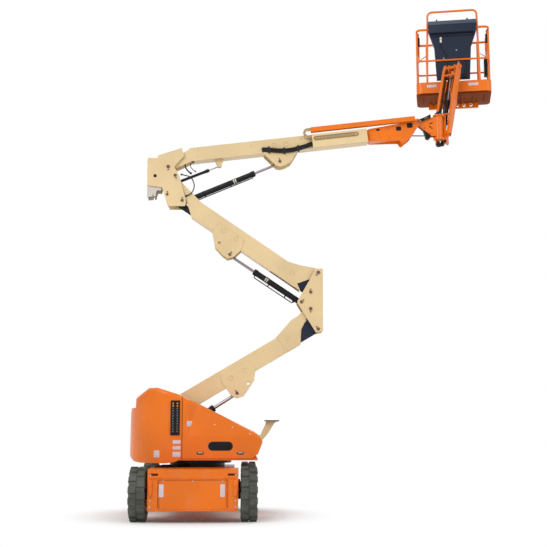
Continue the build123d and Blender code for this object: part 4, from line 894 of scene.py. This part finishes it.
def on_cover(node, x, z, side=-1):
    """Where a level line along Y meets a cover, just inside it, with axes: right, up and out."""
    _, at, out, _ = nodes[node].ray_cast((x, side * 3.0, z), (0, -side, 0))
    out = np.array(out)
    right = np.cross(UP, out)
    right /= np.linalg.norm(right)
    return np.array(at) - SUNK * out, right, np.cross(out, right), out


def film(node, x, z, size):
    """A blank film with soft corners that lies on a cover of the near side."""
    at, right, up, _ = on_cover(node, x, z)
    return soft_plate(at, right, up, size, 0.0018, 0.006, 0.0008)


bpy.context.view_layer.update()

# %% [markdown]
# ## Blank plates
#
# Machines like this one carry instruction plates on their covers. Here each plate is a thin, blank,
# slightly raised film with rounded corners. The dark stadium on the hood is a blank name plate.

# %% Blank plates on the covers
parts = [film("tail_cover", x, z, size) for x, z, size in (
    (-0.545, 0.905, (0.092, 0.096)), (-0.262, 1.070, (0.110, 0.050)), (-0.262, 0.990, (0.110, 0.050)),
    (-0.262, 0.900, (0.110, 0.072)))]
make("tail_plates", parts, pale_label, "turntable")
make("hood_plate", [film("hood_near", -0.080, 1.325, (0.105, 0.074))], pale_label, "hood_near")
at, right, up, _ = on_cover("hood_near", 0.354, 1.013)
plate = soft_plate(at, right, up, (0.340, 0.118), 0.0045, 0.059, 0.003)
rim = soft_plate(at, right, up, (0.352, 0.130), 0.0025, 0.065, 0.001)
make("hood_name_plate", [plate], black_gloss, "hood_near")
make("hood_name_rim", [rim], grey_plastic, "hood_near")

# %% [markdown]
# ## The ground controls
#
# A black panel on the tail cover lets someone on the ground move the booms. It has a moulded frame,
# rows of spring switches with rubber boots and a few lamps above them. Nothing is written on it.

# %% Ground control panel
low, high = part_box("ground_controls")
middle_x, wide, tall = (low[0] + high[0]) / 2, high[0] - low[0], high[2] - low[2]
lamp = [(0.012, 0), (0.012, 0.003), (0.009, 0.006), (0.003, 0.008)]
boot = [(0.015, 0), (0.015, 0.002), (0.011, 0.005), (0.007, 0.008)]
lever = [(0.0035, 0), (0.003, 0.010), (0.004, 0.015), (0.002, 0.018)]
panel = facing((middle_x, low[1], (low[2] + high[2]) / 2), (wide - 0.004, tall - 0.006), 0.004, 0.02)
make("ground_panel", [panel], black_gloss, "turntable")
rows = np.linspace(0.05, tall - 0.04, 12)
lit = rows / tall > 0.78
spots = np.array([[(middle_x + aside, low[1] - 0.0035, low[2] + row) for aside in (-0.030, 0.030)]
                  for row in rows])
switches = spots[~lit].reshape(-1, 3)
make("ground_panel_boots", [turned(at, NEAR, boot, 18) for at in switches], grey_plastic, "turntable")
levers = [turned(at + 0.004 * NEAR, (0, -1, 0.3), lever, 10) for at in switches]
make("ground_panel_levers", levers, zinc, "turntable")
lamps = [turned(at, NEAR, lamp, 18) for at in spots[lit].reshape(-1, 3)]
make("ground_panel_lamps", lamps, amber, "turntable")

# %% [markdown]
# ## Latches and screws on the hoods
#
# Each hood is held shut by two paddle latches in shallow cups. Domed screws along its upper edge hold
# the seal inside.

# %% Hood latches and screws
screw = [(0.011, 0), (0.010, 0.003), (0.006, 0.0055), (0.002, 0.006)]
for side, which in ((-1, "near"), (1, "far")):
    hood = f"hood_{which}"
    cups, levers, screws = [], [], []
    for x in (0.071, 0.634):
        at, right, up, out = on_cover(hood, x, 0.916, side)
        cups.append(soft_plate(at, right, up, (0.096, 0.038), 0.003, 0.014, 0.0015))
        lifted = at + (0.002 + SUNK) * out + 0.004 * up
        levers.append(soft_plate(lifted, right, up, (0.070, 0.018), 0.007, 0.008, 0.003))
    for x, z in ((0.270, 1.310), (0.520, 1.275), (0.770, 1.180)):
        at, right, up, out = on_cover(hood, x, z, side)
        screws.append(turned(at, out, screw, 18))
    make(f"hood_latch_cups_{which}", cups, black_plastic, hood)
    make(f"hood_latch_levers_{which}", levers, zinc, hood)
    make(f"hood_screws_{which}", screws, zinc, hood)

# %% [markdown]
# ## The drive end
#
# A steel panel closes the drive end between two cast brackets that carry the axle. It is bolted along
# its edges, with a rail above and below, and dark gaps show where the panel meets the brackets.

# %% Drive end
END_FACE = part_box("drive_end_cover")[0][1] + 0.0003
parts = [facing((x, END_FACE, 0.434), (0.062, 0.168), 0.002, 0.006, 0.0008) for x in (-0.424, 0.398)]
make("drive_end_plates", parts, pale_label, "chassis")
bolts = []
for x in (-0.40, 0.0, 0.40):
    bolts += hex_bolt((x, END_FACE, 0.562), NEAR, BOLT)
for x in (-0.575, 0.575):
    for z in (0.215, 0.300, 0.395, 0.640):
        bolts += hex_bolt((x, END_FACE, z), NEAR, 0.011)
make("drive_end_bolts", bolts, zinc, "chassis")
plug = [(0.022, 0), (0.022, 0.010), (0.016, 0.014), (0.008, 0.014)]
brackets, dark = [], []
for side in SIDES:
    x = side * 0.572
    brackets += [facing((x, END_FACE, 0.500), (0.060, 0.150), 0.020, 0.022, 0.008),
                 facing((x, END_FACE, 0.405), (0.044, 0.090), 0.030, 0.020, 0.010),
                 turned((x, END_FACE - 0.018, 0.500), NEAR, plug, 20),
                 facing((side * 0.500, END_FACE, 0.606), (0.150, 0.020), 0.016, 0.009, 0.005)]
    dark += [facing((side * 0.530, END_FACE, 0.646), (0.126, 0.030), 0.001, 0.014, 0.0005),
             facing((side * 0.4700, END_FACE, 0.392), (0.007, 0.372), 0.001, 0.003, 0.0004)]
make("drive_end_brackets", brackets, orange, "chassis")
make("drive_end_gaps", dark, shadow_gap, "chassis")
rails = [facing((0, END_FACE, 0.586), (0.900, 0.014), 0.014, 0.006, 0.004),
         facing((0, END_FACE, 0.178), (1.190, 0.022), 0.012, 0.009, 0.005)]
make("drive_end_rails", rails, orange, "chassis")

# %% Cables over the deck, between the drive end and the slewing ring
cables = []
for number, (start, drop) in enumerate(((-0.560, 0.0), (-0.500, 0.006), (-0.440, 0.0), (-0.380, 0.010))):
    y = -0.560 - 0.022 * number
    path = [(start, -0.700 - 0.03 * number, 0.722), (start + 0.05, y, 0.735 - drop),
            (-0.330 + 0.03 * number, y + 0.05, 0.742 - drop), (-0.180 + 0.02 * number, -0.430, 0.738)]
    cables.append(piped(bent(path, 0.04, 7), 0.011))
cables += [soft_plate((x, y, 0.714), RIGHT, FAR, (0.030, 0.130), 0.036, 0.008, 0.004)
           for x, y in ((-0.470, -0.590), (-0.330, -0.560))]
make("deck_cables", cables, hose_sheath, "chassis")

# %% [markdown]
# ## Wheels
#
# The rims are held by a ring of nuts round the hub and closed by a domed cap. The same parts are made for
# each wheel about its own axle, and ride on the wheel so that they turn with it.

# %% Wheel nuts and hub caps
nut_ring = np.radians(np.arange(9) * 40.0)
cap = [(0.054, 0), (0.054, 0.006), (0.048, 0.020), (0.030, 0.028), (0.010, 0.030)]
for name in ("drive_left", "drive_right", "steer_left", "steer_right"):
    low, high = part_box(f"rim_{name}")
    out = RIGHT if high[0] > 0 else LEFT
    hub = np.array([math.copysign(0.8195, high[0]), (low[1] + high[1]) / 2, (low[2] + high[2]) / 2])
    nuts = []
    for a in nut_ring:
        nuts += hex_bolt(hub + 0.074 * np.array([0, math.cos(a), math.sin(a)]), out, 0.011)
    make(f"wheel_nuts_{name}", nuts, zinc, f"wheel_{name}")
    make(f"hub_cap_{name}", [turned(hub, out, cap, 36)], orange, f"wheel_{name}")

# %% [markdown]
# ## The platform's underside
#
# The floor is a pressed sheet on a grid of joists, seen from below. The sheet's lower face and the joists
# are a darker copy of the orange, which is painted shade with a little dust. The joists are soft bars under
# the sheet.

# %% Joists under the floor
parts = [soft_plate((x, 0.310, 0.001), RIGHT, NEAR, (0.034, 0.540), 0.030, 0.006, 0.003)
         for x in (-0.520, -0.330, -0.140, 0.140, 0.330, 0.520)]
parts.append(soft_plate((0, 0.060, 0.001), RIGHT, NEAR, (1.080, 0.040), 0.034, 0.008, 0.003))
parts.append(soft_plate((0, 0.380, 0.0005), RIGHT, NEAR, (1.212, 0.752), 0.005, 0.086, 0.002))
make("platform_joists", basket.put(parts), underside_painted_shade, "platform")
parts = [facing((x, -0.0002, 0.118), (0.158, 0.046), 0.002, 0.006, 0.0008) for x in (-0.358, 0.318)]
make("platform_plates", basket.put(parts), pale_label, "platform")

# %% [markdown]
# ## The rails
#
# Short tubes inside the corners of the platform give a hand hold and an anchor for a lanyard. They are
# bent from a thinner tube than the rails and end on the mid rail.

# %% Hand holds and braces
sleeve = [(0.021, -0.020), (0.021, 0.020)]
grip = [(0.021, 0), (0.024, 0.004), (0.024, 0.150), (0.021, 0.154)]
parts, grips = [], []
for side in SIDES:
    x = side * 0.560
    path = [(x, 0.150, 1.090), (x, 0.150, 0.820), (x, 0.175, 0.730), (x, 0.520, 0.730), (x, 0.540, 0.820),
            (x, 0.540, 1.090)]
    parts.append(piped(bent(path, 0.05, 7), 0.012, 14))
    parts.append(piped(np.linspace((side * 0.440, 0.025, 0.640), (x, 0.025, 0.560), 3), 0.008, 10))
    parts += [turned((side * (0.4300 - 0.0214 * z), 0.025, z), UP, sleeve, 20) for z in (0.560, 1.100)]
    grips.append(turned((x, 0.150, 0.860), UP, grip, 20))
make("hand_holds", basket.put(parts), orange, "platform")
make("hand_hold_grips", basket.put(grips), black_plastic, "platform")

# %% [markdown]
# ## The console
#
# The control box sits on a sheet-steel shield. Its top is a panel with two joysticks in rubber bellows
# and a row of switches; outside, a folded lip runs along its upper edge, and rivets and a weather-proof
# socket show on the sheet. A bellows is a profile whose radius goes in and out as it climbs.

# %% Console shield
SHIELD = 2 * 0.019 + 0.006 + 0.0005    # outer face of the sheet: two rails, the sheet and a small gap
housing = [facing((0, 0.0005, 1.112), (0.772, 0.200), SHIELD + 0.003, 0.016, 0.006)]
make("console_housing", basket.put(housing), slate, "platform")
parts = [facing((0, 0.0005, 1.182), (0.780, 0.064), SHIELD + 0.010, 0.010, 0.004),
         facing((0, SHIELD, 1.006), (0.700, 0.010), 0.004, 0.004, 0.002)]
make("console_lip", basket.put(parts), slate_light, "platform")
rivet = [(0.010, 0), (0.009, 0.003), (0.005, 0.005), (0.002, 0.0055)]
socket = [(0.017, 0), (0.020, 0.004), (0.020, 0.024), (0.016, 0.030), (0.010, 0.030)]
parts = [turned((x, SHIELD, z), NEAR, rivet, 16) for x, z in (
    (0.060, 0.730), (-0.150, 0.600), (0.090, 0.520), (-0.355, 1.090), (-0.345, 1.040), (0.355, 1.090),
    (0.345, 1.040))]
parts.append(turned((-0.190, SHIELD, 0.940), NEAR, socket))
parts.append(facing((-0.190, SHIELD, 0.895), (0.030, 0.060), 0.016, 0.010, 0.004))
make("console_fittings", basket.put(parts), white_plastic, "platform")
LEADS = (  # radius, bend, then (x, depth inside the shield, z) along it
    (0.006, 0.04, [(-0.190, 0.014, 0.868), (-0.190, 0.010, 0.800), (-0.140, 0.008, 0.720),
                   (-0.090, 0.008, 0.640), (-0.080, 0.006, 0.420)]),
    (0.010, 0.05, [(0.190, 0.008, 0.520), (0.200, 0.010, 0.360), (0.170, 0.020, 0.250)]),
    (0.008, 0.05, [(0.225, 0.008, 0.560), (0.240, 0.010, 0.340), (0.200, 0.024, 0.245)]),
)
leads = []
for radius, reach, points in LEADS:
    leads += formed_hose([(x, SHIELD - depth, z) for x, depth, z in points], radius, reach)
make("console_leads", basket.put(leads), hose_sheath, "platform")

# %% Console top
TOP, TOP_Y = 1.215, SHIELD + 0.036
panel = soft_plate((0, TOP_Y, TOP), RIGHT, FAR, (0.740, 0.064), 0.005, 0.010, 0.002)
make("console_panel", basket.put([panel]), black_gloss, "platform")
bellows = [(0.026, 0), (0.026, 0.004), (0.022, 0.008), (0.024, 0.012), (0.017, 0.017), (0.019, 0.021),
           (0.012, 0.027), (0.007, 0.030), (0.007, 0.034)]
knob = [(0.006, 0), (0.008, 0.010), (0.013, 0.020), (0.013, 0.034), (0.006, 0.042)]
switch = [(0.008, 0), (0.008, 0.004), (0.003, 0.006), (0.003, 0.018), (0.004, 0.022)]
STICKS, SWITCHES = (-0.250, 0.250), np.linspace(-0.170, 0.170, 9)
for name, spots, lift, profile, sides, finish in (
        ("console_bellows", STICKS, 0.005, bellows, 24, black_plastic),
        ("console_knobs", STICKS, 0.035, knob, 20, black_gloss),
        ("console_switches", SWITCHES, 0.005, switch, 10, zinc)):
    parts = [turned((x, TOP_Y, TOP + lift), UP, profile, sides) for x in spots]
    make(name, basket.put(parts), finish, "platform")

# %% [markdown]
# ## The boom rest
#
# When the machine is driven to its next job, the lower boom lies on this rest. A rubber band round its
# head keeps the two paints apart, and a cheek plate on each side of the stem stiffens it.

# %% Rest pad and cheeks
low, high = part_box("boom_rest")
rest_top = high[2]
cheek = [(low[0] + 0.020, 1.080), (0.940, 1.068), (1.050, 1.195), (1.130, 1.330),
         (high[0] - 0.015, rest_top - 0.010), (1.020, rest_top - 0.010), (0.990, 1.290), (0.930, 1.165)]
make("boom_rest_cheeks", cut_plates(cheek, 0.028, 0.006), cream, "turntable")
pad = soft_plate((1.095, 0, rest_top - 0.018), RIGHT, FAR, (0.215, 0.232), 0.0165, 0.008, 0.003)
make("boom_rest_pad", [pad], black_plastic, "turntable")

# %% [markdown]
# ## The studio
#
# A pale floor runs under the machine. Its colour, not more light, makes it white, and the shadow of the
# machine still falls on it. A large soft lamp stands high in front to the left, and two weaker ones on
# the right and behind light the paint without burning out the cream.

# %% Stage
def floor_finish():
    """A matt floor that keeps the shadow near the machine and fades to plain white further out."""
    floor = Finish("studio_floor", Roughness=0.9, Specular_IOR_Level=0.1)
    floor.feed("Base Color", floor.blend(floor.noise(0.4), (0.96, 0.96, 0.96), (0.98, 0.98, 0.98)))
    flat = floor.node("ShaderNodeVectorMath", {"operation": "MULTIPLY"}, {0: floor.place, 1: (1, 1, 0)})
    away = floor.node("ShaderNodeVectorMath", {"operation": "LENGTH"}, {0: flat}, output=1)
    floor.whiten("ShaderNodeEmission", floor.shader, "Material Output", floor.band(away, 1.0, 2.1))
    return floor.material


def flat_surface(name, half, height):
    mesh = bpy.data.meshes.new(name)
    corners = [(-half, -half, height), (half, -half, height), (half, half, height), (-half, half, height)]
    mesh.from_pydata(corners, [], [(0, 1, 2, 3)])
    made = bpy.data.objects.new(name, mesh)
    bpy.context.scene.collection.objects.link(made)
    return made


floor = flat_surface("studio_ground", 60.0, 0.0)
floor.data.materials.append(floor_finish())

world = bpy.data.worlds.new("studio")
bpy.context.scene.world = world
world.use_nodes = True
sky = Sums(world.node_tree)
background = sky.tree.nodes["Background"]
background.inputs["Color"].default_value = (1.0, 1.0, 1.0, 1)
background.inputs["Strength"].default_value = 0.50
sky.whiten("ShaderNodeBackground", background, "World Output")


# %% Lamps
def soft_lamp(name, place, aim, size, power):
    lamp = bpy.data.lights.new(name, "AREA")
    lamp.size = size
    lamp.energy = power
    holder = bpy.data.objects.new(name, lamp)
    holder.location = place
    direction = np.subtract(aim, place)
    flat = math.hypot(direction[0], direction[1])
    holder.rotation_euler = (math.atan2(flat, -direction[2]), 0, math.atan2(-direction[0], direction[1]))
    bpy.context.scene.collection.objects.link(holder)


MIDDLE = (1.5, 0.0, 3.5)
soft_lamp("key", (-6.0, -12.0, 13.0), MIDDLE, 9.0, 1150.0)
soft_lamp("fill", (11.0, -9.0, 7.0), MIDDLE, 8.0, 380.0)
soft_lamp("rim", (2.0, 12.0, 11.0), MIDDLE, 9.0, 450.0)
